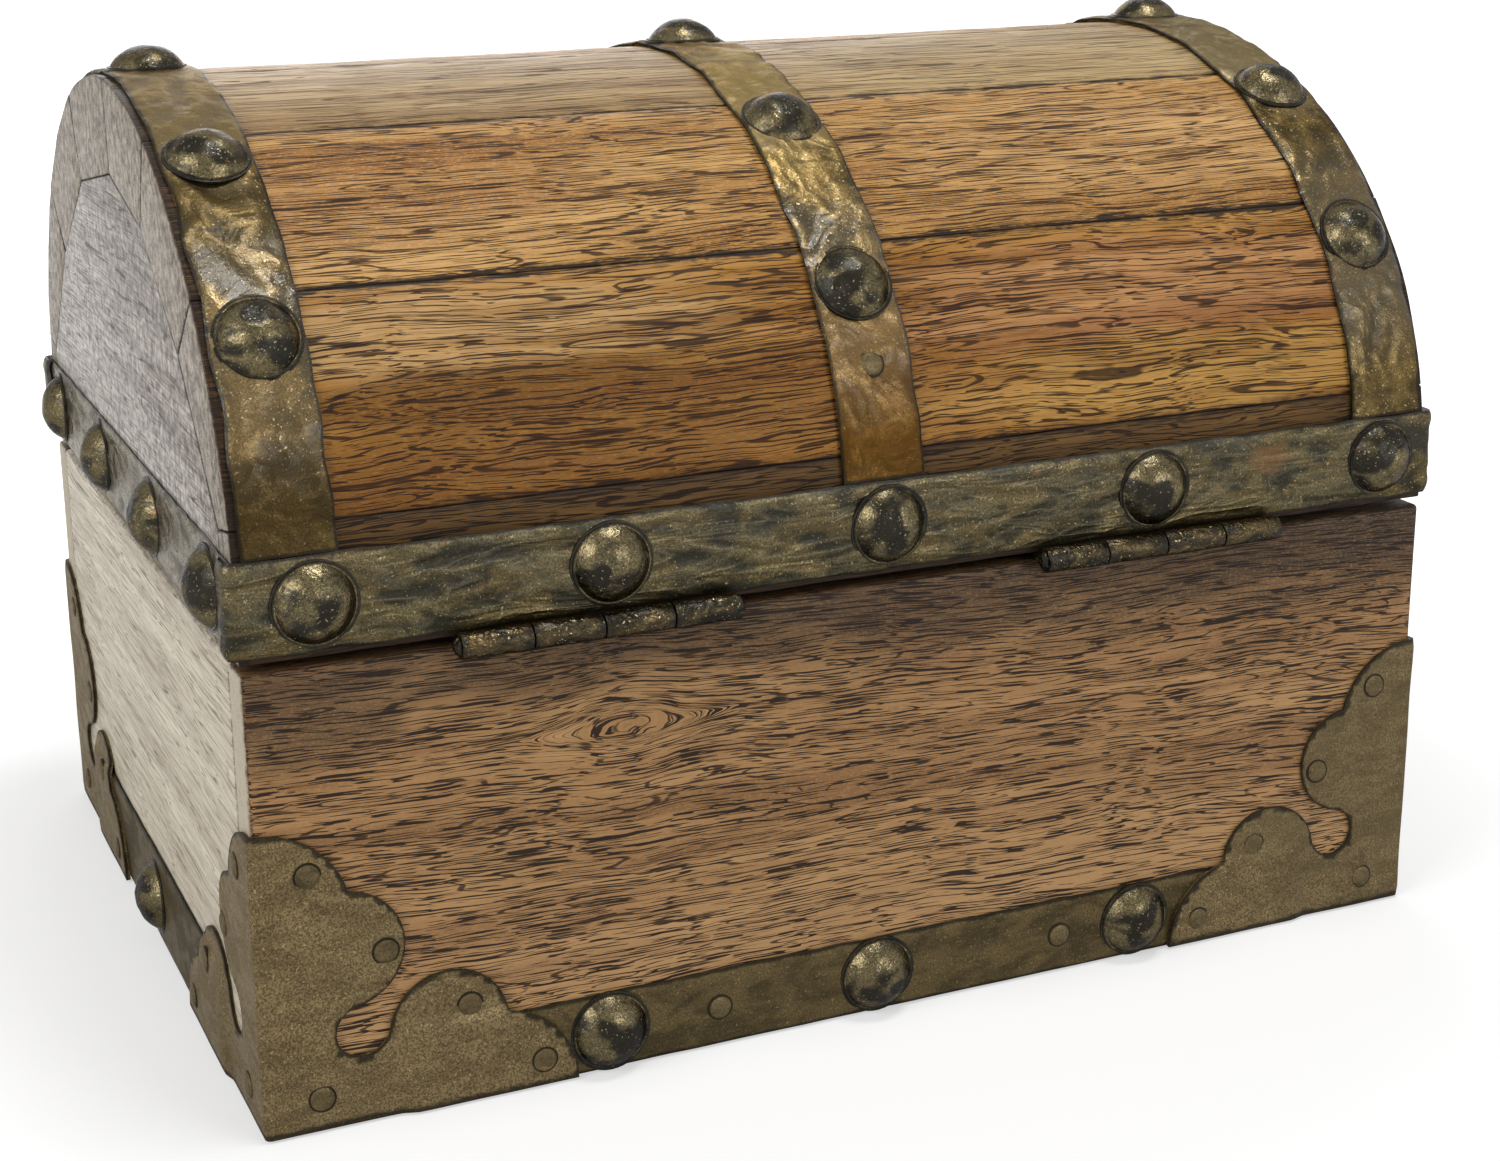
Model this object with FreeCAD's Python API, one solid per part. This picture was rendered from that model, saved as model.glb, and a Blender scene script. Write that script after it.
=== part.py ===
import FreeCAD, Part
import math
import os

Vector = FreeCAD.Vector

# Sizes are in millimetres. The origin is the middle of the underside,
# +X is the chest's left end, +Y is the hinge side and +Z is up.

# Whole chest
length = 203.0
depth = 150.0
body_height = 72.0
parting_gap = 1.4
lid_straight = 7.2
lid_rise = 67.4

# Boards of the body and the lid
board_thickness = 7.5
bottom_thickness = 6.0
stave_thickness = 15.0
stave_seam_angles = (10.3, 38.4, 64.8, 87.7, 113.4, 141.1, 169.7)
stave_names = ("rear_lower", "rear_middle", "rear_upper", "front_upper", "front_middle", "front_lower")
stave_flats = 3

# Sheet-metal bands
rim_band_width = 14.2
rim_band_thickness = 0.9
rim_band_raise = 0.9
rim_band_return = 4.0
base_band_thickness = 0.8
side_base_band_height = 12.7
end_base_band_height = 16.4
arch_band_width = 13.8
arch_band_thickness = 1.0
arch_band_inset = 8.1
centre_band_offset = 0.8

# Scalloped corner plates
plate_leg = 48.0
plate_thickness = 0.8
plate_outer_lobe_radius = 14.0
plate_inner_lobe_radius = 9.3
plate_notch_radius = 4.1
plate_inner_lobe_shares = (0.26, 0.583)
snip_angle = 20.0
plate_nail_shares = ((0.16, 0.85), (0.39, 0.56), (0.65, 0.325), (0.885, 0.09), (0.167, 0.11))

# Domed studs
stud_diameter = 12.6
stud_height = 3.7
stud_shank_width = 1.8
stud_shank_length = 6.2
stud_sides = 10
stud_rings = 2
stud_crown_share = 0.5
rim_stud_rear_shares = (0.445, 0.226, 0.001, -0.235, -0.454)
rim_stud_front_shares = (0.449, 0.23, -0.23, -0.449)
rim_stud_end_shares = (0.41, 0.14, -0.14, -0.41)
base_stud_middle_share = 0.009
base_stud_gaps = (5.6, 6.8)
arch_stud_angles = (32.5, 59.5, 91.5, 119.0, 147.0)

# Flat-headed nails
nail_head_diameter = 3.8
nail_head_height = 0.6
nail_head_sides = 6
nail_shank_width = 1.2
nail_shank_length = 6.0
base_nail_shares = (0.6, 0.7)
arch_nail_angles = (21.6, 158.0)

# Butt hinges
hinge_length = 44.0
hinge_place_share = 0.238
hinge_knuckles = 4
hinge_barrel_diameter = 4.0
hinge_pin_diameter = 1.9
hinge_pin_head_diameter = 3.2
hinge_pin_head_height = 0.9
hinge_standoff = 2.6
hinge_leaf_width = 6.8
hinge_nail_head_width = 2.4
hinge_nail_shank_width = 1.0
hinge_nail_shank_length = 5.0
hinge_nail_shares = (-0.36, 0.0, 0.36)

# Hasp and staple
hasp_width = 14.0
hasp_knuckles = 3
hasp_thickness = 1.0
hasp_plate_height = 11.0
hasp_corner_radius = 3.0
hasp_barrel_diameter = 3.4
hasp_pin_diameter = 1.5
hasp_pin_head_diameter = 2.6
hasp_pin_head_height = 0.6
hasp_pivot_raise = 2.7
hasp_tip = 5.3
hasp_nail_shares = (-0.3, 0.3)
hasp_nail_height_share = 0.67
staple_bar = 2.2
staple_gap = 8.0
staple_drop = 16.1
staple_reach = 3.5
staple_depth = 5.5

# Clearances
shank_clearance = 0.05
pin_clearance = 0.05
knuckle_clearance = 0.2
leaf_clearance = 0.2
running_clearance = 0.3
slot_clearance = 0.5
overrun = 1.0

# Worked out from the sizes above
half_length = length / 2
half_depth = depth / 2
lid_bottom = body_height + parting_gap
spring_height = lid_bottom + lid_straight
rim_bottom = lid_bottom + rim_band_raise
rim_top = rim_bottom + rim_band_width
rim_middle = (rim_bottom + rim_top) / 2
inner_half_length = half_length - board_thickness
inner_half_depth = half_depth - board_thickness
leaf_thickness = (parting_gap - leaf_clearance) / 2
hinge_axis = Vector(0, half_depth + hinge_standoff, body_height + parting_gap / 2)
hinge_radius = hinge_barrel_diameter / 2
hinge_bore_radius = hinge_pin_diameter / 2 + pin_clearance
hasp_radius = hasp_barrel_diameter / 2
hasp_bore_radius = hasp_pin_diameter / 2 + pin_clearance
hasp_face = half_depth + rim_band_thickness
hasp_axis = Vector(0, -(hasp_face + running_clearance + hasp_radius), lid_bottom + hasp_pivot_raise)

along_x = Vector(1, 0, 0)
along_y = Vector(0, 1, 0)
along_z = Vector(0, 0, 1)


# Helpers

def block(x_range, y_range, z_range):
    sizes = [high - low for low, high in (x_range, y_range, z_range)]
    corner = Vector(x_range[0], y_range[0], z_range[0])
    return Part.makeBox(sizes[0], sizes[1], sizes[2], corner)


def rod(radius, x_range, axis):
    return Part.makeCylinder(radius, x_range[1] - x_range[0], Vector(x_range[0], axis.y, axis.z), along_x)


def prism(points, direction, reach):
    # A closed flat outline pushed along a direction
    return Part.Face(Part.makePolygon(points + points[:1])).extrude(direction * reach)


def arc_points(centre, radius, first_angle, last_angle):
    # A curve cut in short straight snips, as sheet metal is; angles in degrees
    snips = max(1, round(abs(last_angle - first_angle) / snip_angle))
    points = []
    for index in range(snips + 1):
        angle = math.radians(first_angle + (last_angle - first_angle) * index / snips)
        points.append((centre[0] + radius * math.cos(angle), centre[1] + radius * math.sin(angle)))
    return points


def without_repeats(points):
    kept = []
    for point in points:
        if not kept or math.dist(point, kept[-1]) > shank_clearance:
            kept.append(point)
    return kept


def placed(shape, base, direction):
    copy = shape.copy()
    copy.Placement = FreeCAD.Placement(base, FreeCAD.Rotation(along_z, direction))
    return copy


def drilled(shape, places, tool):
    if not places:
        return shape
    return shape.cut([placed(tool, base, direction) for base, direction in places])


def group(shapes):
    return Part.makeCompound(shapes)


# Outline of the lid: flats planed round an ellipse, in the plane of depth and height

def ellipse_point(angle):
    turn = math.radians(angle)
    return Vector(0, half_depth * math.cos(turn), spring_height + lid_rise * math.sin(turn))


def ellipse_normal(angle):
    turn = math.radians(angle)
    return Vector(0, math.cos(turn) / half_depth, math.sin(turn) / lid_rise).normalize()


def stave_angles(index):
    low, high = stave_seam_angles[index], stave_seam_angles[index + 1]
    return [low + (high - low) * step / stave_flats for step in range(stave_flats + 1)]


def lid_angles():
    angles = [0.0]
    for index in range(len(stave_names)):
        angles += stave_angles(index)[:-1]
    return angles + [stave_seam_angles[-1], 180.0]


def flat_normal(low, high):
    along = ellipse_point(high) - ellipse_point(low)
    return Vector(0, along.z, -along.y).normalize()


def flat_place(angle, lift):
    # The point of the lid's flats at an angle, raised by a lift, and the flat's normal
    angles = lid_angles()
    for low, high in zip(angles, angles[1:]):
        if low <= angle < high:
            normal = flat_normal(low, high)
            share = (angle - low) / (high - low)
            point = ellipse_point(low) + (ellipse_point(high) - ellipse_point(low)) * share
            return point + normal * lift, normal
    return None


def raised_outline(lift):
    # The lid's outline moved outwards by a lift, from one foot at the rim band's top to the other
    angles = lid_angles()
    normals = [flat_normal(low, high) for low, high in zip(angles, angles[1:])]
    points = []
    for angle, before, after in zip(angles[1:-1], normals, normals[1:]):
        points.append(ellipse_point(angle) + (before + after) * (lift / (1 + before.dot(after))))
    feet = []
    for angle, normal, near in ((angles[0], normals[0], points[0]), (angles[-1], normals[-1], points[-1])):
        low = ellipse_point(angle) + normal * lift
        feet.append(low + (near - low) * ((rim_top - low.z) / (near.z - low.z)))
    return feet[:1] + points + feet[1:]


def seam_line(index):
    # Outer and inner ends of the joint below stave number index
    angle = stave_seam_angles[index]
    outer = ellipse_point(angle)
    normal = ellipse_normal(angle)
    drop = stave_thickness
    if index in (0, len(stave_seam_angles) - 1):
        drop = (abs(outer.y) - inner_half_depth) / abs(normal.y)
    return outer, outer - normal * drop


# Fasteners

def ring(radius, height, sides):
    turns = [2 * math.pi * index / sides for index in range(sides)]
    return [Vector(radius * math.cos(turn), radius * math.sin(turn), height) for turn in turns]


def dome(diameter, height, sides):
    # A hammered head: rings of flats round a ball's cap, with a small flat crown
    ball = (diameter ** 2 / 4 + height ** 2) / (2 * height)
    rim_angle = math.asin(diameter / 2 / ball)
    rings = []
    for index in range(stud_rings + 1):
        angle = rim_angle * (1 - index / (stud_rings + stud_crown_share))
        rings.append(ring(ball * math.sin(angle), height - ball + ball * math.cos(angle), sides))
    faces = [Part.Face(Part.makePolygon(rings[0] + rings[0][:1])),
             Part.Face(Part.makePolygon(rings[-1] + rings[-1][:1]))]
    for low, high in zip(rings, rings[1:]):
        for index in range(sides):
            after = (index + 1) % sides
            faces.append(Part.Face(Part.makePolygon([low[index], low[after], high[after], high[index], low[index]])))
    return Part.makeSolid(Part.makeShell(faces))


def shank(width, reach, clearance=0.0):
    half = width / 2 + clearance
    return block((-half, half), (-half, half), (-reach - clearance, 0))


def stud_shape():
    return dome(stud_diameter, stud_height, stud_sides).fuse(shank(stud_shank_width, stud_shank_length))


def stud_hole():
    return shank(stud_shank_width, stud_shank_length, shank_clearance)


def nail_shape():
    head = prism(ring(nail_head_diameter / 2, 0, nail_head_sides), along_z, nail_head_height)
    return head.fuse(shank(nail_shank_width, nail_shank_length))


def nail_hole():
    return shank(nail_shank_width, nail_shank_length, shank_clearance)


def sunk_nail(clearance=0.0):
    # A square head let into the hinge leaf, flush at height zero, on a thinner shank
    half = hinge_nail_head_width / 2 + clearance
    head = block((-half, half), (-half, half), (-leaf_thickness, 0))
    return head.fuse(shank(hinge_nail_shank_width, hinge_nail_shank_length, clearance))


def side_places(shares, face_distance, height, side):
    return row_places([share * length for share in shares], face_distance, height, side)


def row_places(distances, face_distance, height, side):
    return [(Vector(x, side * face_distance, height), along_y * side) for x in distances]


def end_places(shares, face_distance, height, end):
    return [(Vector(end * face_distance, share * depth, height), along_x * end) for share in shares]


def arch_places(x, angles):
    places = []
    for angle in angles:
        point, normal = flat_place(angle, arch_band_thickness)
        places.append((Vector(x, 0, 0) + point, normal))
    return places


rim_stud_places = {
    "rear": side_places(rim_stud_rear_shares, half_depth + rim_band_thickness, rim_middle, 1),
    "front": side_places(rim_stud_front_shares, half_depth + rim_band_thickness, rim_middle, -1),
    "left": end_places(rim_stud_end_shares, half_length + rim_band_thickness, rim_middle, 1),
    "right": end_places(rim_stud_end_shares, half_length + rim_band_thickness, rim_middle, -1),
}
side_base_face = half_depth + base_band_thickness
end_base_face = half_length + base_band_thickness
# Each long base band has a stud beside both corner plates and one near the middle, with a nail between two studs
base_stud_middle = base_stud_middle_share * length
base_stud_outer = (half_length - plate_leg - base_stud_gaps[0], -(half_length - plate_leg - base_stud_gaps[1]))
base_stud_row = (base_stud_outer[0], base_stud_middle, base_stud_outer[1])
base_nail_row = [base_stud_middle + share * (outer - base_stud_middle)
                 for share, outer in zip(base_nail_shares, base_stud_outer)]
base_stud_places = {
    "rear": row_places(base_stud_row, side_base_face, side_base_band_height / 2, 1),
    "front": row_places(base_stud_row, side_base_face, side_base_band_height / 2, -1),
    "left": end_places((0.0,), end_base_face, end_base_band_height / 2, 1),
    "right": end_places((0.0,), end_base_face, end_base_band_height / 2, -1),
}
base_nail_places = {
    "rear": row_places(base_nail_row, side_base_face, side_base_band_height / 2, 1),
    "front": row_places(base_nail_row, side_base_face, side_base_band_height / 2, -1),
}
arch_band_x = {
    "left": half_length - arch_band_inset,
    "centre": centre_band_offset,
    "right": -(half_length - arch_band_inset),
}
arch_stud_places = {name: arch_places(x, arch_stud_angles) for name, x in arch_band_x.items()}
arch_nail_places = {"centre": arch_places(arch_band_x["centre"], arch_nail_angles)}
hasp_nail_height = hasp_axis.z + hasp_plate_height * hasp_nail_height_share
hasp_nail_places = [
    (Vector(share * hasp_width, -(hasp_face + hasp_thickness), hasp_nail_height), -along_y)
    for share in hasp_nail_shares
]


def plate_lift(height, band_height):
    # The plate stands further out where it lies over the base band
    if height < band_height + plate_thickness:
        return base_band_thickness + plate_thickness
    return plate_thickness


def plate_nail_places(end, side):
    # Nails of one corner plate, on its long side leg and on its end leg
    on_side, on_end = [], []
    for u_share, v_share in plate_nail_shares:
        u, v = u_share * plate_leg, v_share * plate_leg
        side_y = half_depth + plate_lift(v, side_base_band_height)
        on_side.append((Vector(end * (half_length - u), side * side_y, v), along_y * side))
        end_x = half_length + plate_lift(v, end_base_band_height)
        on_end.append((Vector(end * end_x, side * (half_depth - u), v), along_x * end))
    return on_side, on_end


corners = {"rear_left": (1, 1), "rear_right": (-1, 1), "front_left": (1, -1), "front_right": (-1, -1)}
corner_nail_places = {name: plate_nail_places(end, side) for name, (end, side) in corners.items()}


# Boards of the body

def side_board(side, name):
    board = block((-half_length, half_length), (inner_half_depth, half_depth), (0, body_height))
    if side < 0:
        board = board.mirror(Vector(0, 0, 0), along_y)
    nails = list(base_nail_places[name])
    for corner, (end, corner_side) in corners.items():
        if corner_side == side:
            nails += corner_nail_places[corner][0] + corner_nail_places[corner][1]
    board = drilled(board, nails, nail_hole())
    return drilled(board, base_stud_places[name], stud_hole())


def end_board(end, name):
    board = block((inner_half_length, half_length), (-inner_half_depth, inner_half_depth), (0, body_height))
    if end < 0:
        board = board.mirror(Vector(0, 0, 0), along_x)
    nails = []
    for corner, (corner_end, side) in corners.items():
        if corner_end == end:
            nails += corner_nail_places[corner][1]
    board = drilled(board, nails, nail_hole())
    return drilled(board, base_stud_places[name], stud_hole())


def bottom_board():
    return block((-inner_half_length, inner_half_length), (-inner_half_depth, inner_half_depth),
                 (0, bottom_thickness))


# Base bands and corner plates

def base_band_side(side, name):
    band = block((-half_length, half_length), (half_depth, side_base_face), (0, side_base_band_height))
    if side < 0:
        band = band.mirror(Vector(0, 0, 0), along_y)
    nails = list(base_nail_places[name])
    for corner, (end, corner_side) in corners.items():
        if corner_side == side:
            nails += corner_nail_places[corner][0]
    band = drilled(band, nails, nail_hole())
    return drilled(band, base_stud_places[name], stud_hole())


def base_band_end(end, name):
    band = block((half_length, end_base_face), (-half_depth, half_depth), (0, end_base_band_height))
    if end < 0:
        band = band.mirror(Vector(0, 0, 0), along_x)
    nails = []
    for corner, (corner_end, side) in corners.items():
        if corner_end == end:
            nails += corner_nail_places[corner][1]
    band = drilled(band, nails, nail_hole())
    return drilled(band, base_stud_places[name], stud_hole())


def bearing(from_point, to_point):
    return math.degrees(math.atan2(to_point[1] - from_point[1], to_point[0] - from_point[0]))


def lobe_cusp(first, first_radius, second, second_radius):
    # The outer crossing of two circles
    gap = math.hypot(second[0] - first[0], second[1] - first[1])
    reach = (gap ** 2 + first_radius ** 2 - second_radius ** 2) / (2 * gap)
    rise = math.sqrt(first_radius ** 2 - reach ** 2)
    step = ((second[0] - first[0]) / gap, (second[1] - first[1]) / gap)
    return first[0] + reach * step[0] - rise * step[1], first[1] + reach * step[1] + rise * step[0]


def notch_centre(lobe, spacing):
    # The point on the diagonal whose distance from the lobe's centre is the spacing
    middle = (lobe[0] + lobe[1]) / 2
    offset = (lobe[1] - lobe[0]) / 2
    return middle - math.sqrt((spacing ** 2 - 2 * offset ** 2) / 2)


def scallop(to_space, past_corner):
    # Outline of one leg: two lobes, a notch on the diagonal and the same two lobes mirrored
    outer = (0.0, plate_leg - plate_outer_lobe_radius)
    inner = tuple(share * plate_leg for share in plate_inner_lobe_shares)
    notch = notch_centre(inner, plate_inner_lobe_radius + plate_notch_radius)
    cusp = lobe_cusp(outer, plate_outer_lobe_radius, inner, plate_inner_lobe_radius)
    from_notch = bearing((notch, notch), inner)
    lobes = arc_points(outer, plate_outer_lobe_radius, 90, bearing(outer, cusp))
    lobes += arc_points(inner, plate_inner_lobe_radius, bearing(inner, cusp), bearing(inner, (notch, notch)))
    bite = arc_points((notch, notch), plate_notch_radius, from_notch, 450 - from_notch)
    mirrored = [(v, u) for u, v in reversed(lobes)]
    foot = [(-past_corner, 0.0), (-past_corner, plate_leg)]
    return [to_space(u, v) for u, v in without_repeats(lobes + bite + mirrored + foot)]


def corner_plate(name):
    # Sheet pressed over the boards and the base bands, then cut to the scalloped outline
    end, side = corners[name]
    grow = base_band_thickness + plate_thickness
    inside_x, inside_y = half_length - plate_leg, half_depth - plate_leg

    def stack(growth):
        boards = block((inside_x, half_length + growth), (inside_y, half_depth + growth), (0, plate_leg))
        low = block((inside_x, end_base_face + growth), (inside_y, side_base_face + growth),
                    (0, side_base_band_height + growth))
        high = block((inside_x, end_base_face + growth), (inside_y, half_depth + growth),
                     (0, end_base_band_height + growth))
        return boards.fuse([low, high])

    past = grow + overrun
    side_mask = prism(scallop(lambda u, v: Vector(half_length - u, half_depth, v), past), along_y, past)
    end_mask = prism(scallop(lambda u, v: Vector(half_length, half_depth - u, v), past), along_x, past)
    plate = stack(plate_thickness).cut(stack(0)).common(side_mask.fuse(end_mask)).removeSplitter()
    if end < 0:
        plate = plate.mirror(Vector(0, 0, 0), along_x)
    if side < 0:
        plate = plate.mirror(Vector(0, 0, 0), along_y)
    on_side, on_end = corner_nail_places[name]
    return drilled(plate, on_side + on_end, nail_hole())


# Rails, staves and end panels of the lid

def lid_rail(side, name):
    index = 0 if side > 0 else len(stave_seam_angles) - 1
    outer, inner = seam_line(index)
    points = [Vector(0, side * half_depth, lid_bottom), Vector(0, side * half_depth, spring_height), outer, inner,
              Vector(0, side * inner_half_depth, lid_bottom)]
    rail = prism([Vector(-half_length, 0, 0) + point for point in points], along_x, length)
    rail = drilled(rail, rim_stud_places[name], stud_hole())
    if side < 0:
        return drilled(rail, hasp_nail_places, nail_hole())
    return rail.cut(lid_leaf_nails(shank_clearance))


def lid_stave(index):
    angles = stave_angles(index)
    inner_low, inner_high = seam_line(index)[1], seam_line(index + 1)[1]
    points = [ellipse_point(angle) for angle in angles] + [inner_high, inner_low]
    stave = prism([Vector(-half_length, 0, 0) + point for point in points], along_x, length)
    studs, nails = [], []
    for x in arch_band_x.values():
        studs += arch_places(x, [angle for angle in arch_stud_angles if angles[0] < angle < angles[-1]])
    x = arch_band_x["centre"]
    nails += arch_places(x, [angle for angle in arch_nail_angles if angles[0] < angle < angles[-1]])
    return drilled(drilled(stave, studs, stud_hole()), nails, nail_hole())


def lid_end_panel(end, name):
    points = [seam_line(index)[1] for index in range(len(stave_seam_angles))]
    points = [Vector(0, inner_half_depth, lid_bottom)] + points + [Vector(0, -inner_half_depth, lid_bottom)]
    start = Vector(inner_half_length, 0, 0)
    panel = prism([start + point for point in points], along_x, board_thickness)
    if end < 0:
        panel = panel.mirror(Vector(0, 0, 0), along_x)
    return drilled(panel, rim_stud_places[name], stud_hole())


# Bands of the lid

def rim_band_side(side, name):
    # A strip whose ends turn round the corners, over the end strips
    outer_x = half_length + 2 * rim_band_thickness
    outer_y = half_depth + rim_band_thickness
    strip = block((-outer_x, outer_x), (half_depth, outer_y), (rim_bottom, rim_top))
    turns = []
    for low, high in ((-outer_x, -outer_x + rim_band_thickness), (outer_x - rim_band_thickness, outer_x)):
        turns.append(block((low, high), (half_depth - rim_band_return, outer_y), (rim_bottom, rim_top)))
    band = strip.fuse(turns).removeSplitter()
    if side < 0:
        band = band.mirror(Vector(0, 0, 0), along_y)
        band = drilled(band, hasp_nail_places, nail_hole())
    return drilled(band, rim_stud_places[name], stud_hole())


def rim_band_end(end, name):
    band = block((half_length, half_length + rim_band_thickness), (-half_depth, half_depth), (rim_bottom, rim_top))
    if end < 0:
        band = band.mirror(Vector(0, 0, 0), along_x)
    return drilled(band, rim_stud_places[name], stud_hole())


def arch_band(name):
    # The strip bent over the lid's flats stands on the rim bands at both sides
    start = Vector(arch_band_x[name] - arch_band_width / 2, 0, 0)
    points = raised_outline(arch_band_thickness) + raised_outline(0)[::-1]
    band = prism([start + point for point in points], along_x, arch_band_width)
    band = drilled(band, arch_stud_places[name], stud_hole())
    return drilled(band, arch_nail_places.get(name, []), nail_hole())


# Hinges

hinge_centres = (hinge_place_share * length, -hinge_place_share * length)


def knuckle_range(centre, index):
    pitch = hinge_length / hinge_knuckles
    start = centre - hinge_length / 2 + index * pitch
    return start + knuckle_clearance / 2, start + pitch - knuckle_clearance / 2


def leaf_nail_points(centre, height):
    y = half_depth - hinge_leaf_width / 2
    return [Vector(centre + share * hinge_length, y, height) for share in hinge_nail_shares]


def body_leaf_nails(clearance=0.0):
    top = body_height + leaf_thickness
    return [placed(sunk_nail(clearance), point, along_z)
            for centre in hinge_centres for point in leaf_nail_points(centre, top)]


def lid_leaf_nails(clearance=0.0):
    low = lid_bottom - leaf_thickness
    return [placed(sunk_nail(clearance), point, -along_z)
            for centre in hinge_centres for point in leaf_nail_points(centre, low)]


def hinge_leaf(centre, z_range, knuckles, nails):
    # A flat leaf between the rims, with its knuckles rolled round the pin
    plate_edge = hinge_axis.y - hinge_radius - running_clearance
    pitch = hinge_length / hinge_knuckles
    ends = (knuckle_range(centre, 0)[0], knuckle_range(centre, hinge_knuckles - 1)[1])
    pieces = []
    for index in knuckles:
        x_range = knuckle_range(centre, index)
        pieces.append(block(x_range, (plate_edge, hinge_axis.y), z_range))
        pieces.append(rod(hinge_radius, x_range, hinge_axis))
    leaf = block(ends, (half_depth - hinge_leaf_width, plate_edge), z_range).fuse(pieces)
    bore = rod(hinge_bore_radius, (ends[0] - pitch, ends[1] + pitch), hinge_axis)
    return leaf.cut([bore] + nails).removeSplitter()


def hinge_leaf_body(centre):
    return hinge_leaf(centre, (body_height, body_height + leaf_thickness), range(0, hinge_knuckles, 2),
                      body_leaf_nails(shank_clearance))


def hinge_leaf_lid(centre):
    return hinge_leaf(centre, (lid_bottom - leaf_thickness, lid_bottom), range(1, hinge_knuckles, 2),
                      lid_leaf_nails(shank_clearance))


def headed_pin(diameter, head_diameter, head_height, x_range, axis):
    pin = rod(diameter / 2, x_range, axis)
    head = dome(head_diameter, head_height, nail_head_sides)
    left = placed(head, Vector(x_range[1], axis.y, axis.z), along_x)
    right = placed(head, Vector(x_range[0], axis.y, axis.z), -along_x)
    return pin.fuse([left, right]).removeSplitter()


def hinge_pin(centre):
    x_range = (centre - hinge_length / 2, centre + hinge_length / 2)
    return headed_pin(hinge_pin_diameter, hinge_pin_head_diameter, hinge_pin_head_height, x_range, hinge_axis)


# Hasp and staple

def rounded_leaf(half_width, low, high, corner, y):
    # A strip standing on its low edge, with its two upper corners rounded
    side = half_width - corner
    points = [(-half_width, low), (half_width, low)] + arc_points((side, high - corner), corner, 0, 90)
    points += arc_points((-side, high - corner), corner, 90, 180)
    return [Vector(u, y, v) for u, v in without_repeats(points)]


def hasp_knuckle_range(index):
    pitch = hasp_width / hasp_knuckles
    start = -hasp_width / 2 + index * pitch
    return start + knuckle_clearance / 2, start + pitch - knuckle_clearance / 2


def hasp_bore():
    return rod(hasp_bore_radius, (-hasp_width, hasp_width), hasp_axis)


def hasp_plate():
    half = hasp_knuckle_range(2)[1]
    outline = rounded_leaf(half, hasp_axis.z, hasp_axis.z + hasp_plate_height, hasp_corner_radius, -hasp_face)
    plate = prism(outline, -along_y, hasp_thickness)
    room = hasp_radius + running_clearance
    middle = hasp_knuckle_range(1)
    notch = block((middle[0] - knuckle_clearance, middle[1] + knuckle_clearance),
                  (hasp_axis.y - room, -half_depth), (hasp_axis.z - room, hasp_axis.z + room))
    plate = plate.cut(notch).fuse([rod(hasp_radius, hasp_knuckle_range(index), hasp_axis) for index in (0, 2)])
    return drilled(plate.cut(hasp_bore()).removeSplitter(), hasp_nail_places, nail_hole())


def slot_range():
    margin = staple_gap / 2 + staple_bar / 2 + slot_clearance
    return hasp_axis.z + staple_drop - margin, hasp_axis.z + staple_drop + margin


def hasp_flap():
    # Drawn swung up against the lid, with the slot that the staple goes through
    y_range = (hasp_axis.y - hasp_radius, hasp_axis.y - hasp_radius + hasp_thickness)
    half = hasp_knuckle_range(2)[1]
    low, high = slot_range()
    foot = hasp_axis.z + hasp_radius + running_clearance
    strap = prism(rounded_leaf(half, foot, high + hasp_tip, half, y_range[0]), along_y, hasp_thickness)
    middle = hasp_knuckle_range(1)
    tongue = block(middle, y_range, (hasp_axis.z, foot))
    strap = strap.fuse([tongue, rod(hasp_radius, middle, hasp_axis)])
    half_slot = staple_bar / 2 + slot_clearance
    outline = arc_points((0, high - half_slot), half_slot, 0, 180)
    outline += arc_points((0, low + half_slot), half_slot, 180, 360)
    slot = prism([Vector(u, y_range[0] - overrun, v) for u, v in outline], along_y, hasp_thickness + 2 * overrun)
    return strap.cut([hasp_bore(), slot]).removeSplitter()


def hasp_pin():
    x_range = (-hasp_width / 2, hasp_width / 2)
    return headed_pin(hasp_pin_diameter, hasp_pin_head_diameter, hasp_pin_head_height, x_range, hasp_axis)


def staple_heights():
    middle = hasp_axis.z - staple_drop
    return middle - staple_gap / 2, middle + staple_gap / 2


def staple():
    # A square bar bent into a half circle, with two legs driven into the front board
    low, high = staple_heights()
    turn = (-half_depth - staple_reach, (low + high) / 2)
    leg_end = -half_depth + staple_depth
    outer, inner = (staple_gap + staple_bar) / 2, (staple_gap - staple_bar) / 2
    outline = [(leg_end, turn[1] + outer)] + arc_points(turn, outer, 90, 270) + [(leg_end, turn[1] - outer)]
    outline += [(leg_end, turn[1] - inner)] + arc_points(turn, inner, 270, 90) + [(leg_end, turn[1] + inner)]
    return prism([Vector(-staple_bar / 2, y, z) for y, z in outline], along_x, staple_bar)


def staple_holes():
    half = staple_bar / 2 + shank_clearance
    deep = (-half_depth, -half_depth + staple_depth + shank_clearance)
    return [block((-half, half), deep, (height - half, height + half)) for height in staple_heights()]


# All pieces by name

def copies(shape, places):
    return [placed(shape, base, direction) for base, direction in places]


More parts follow.
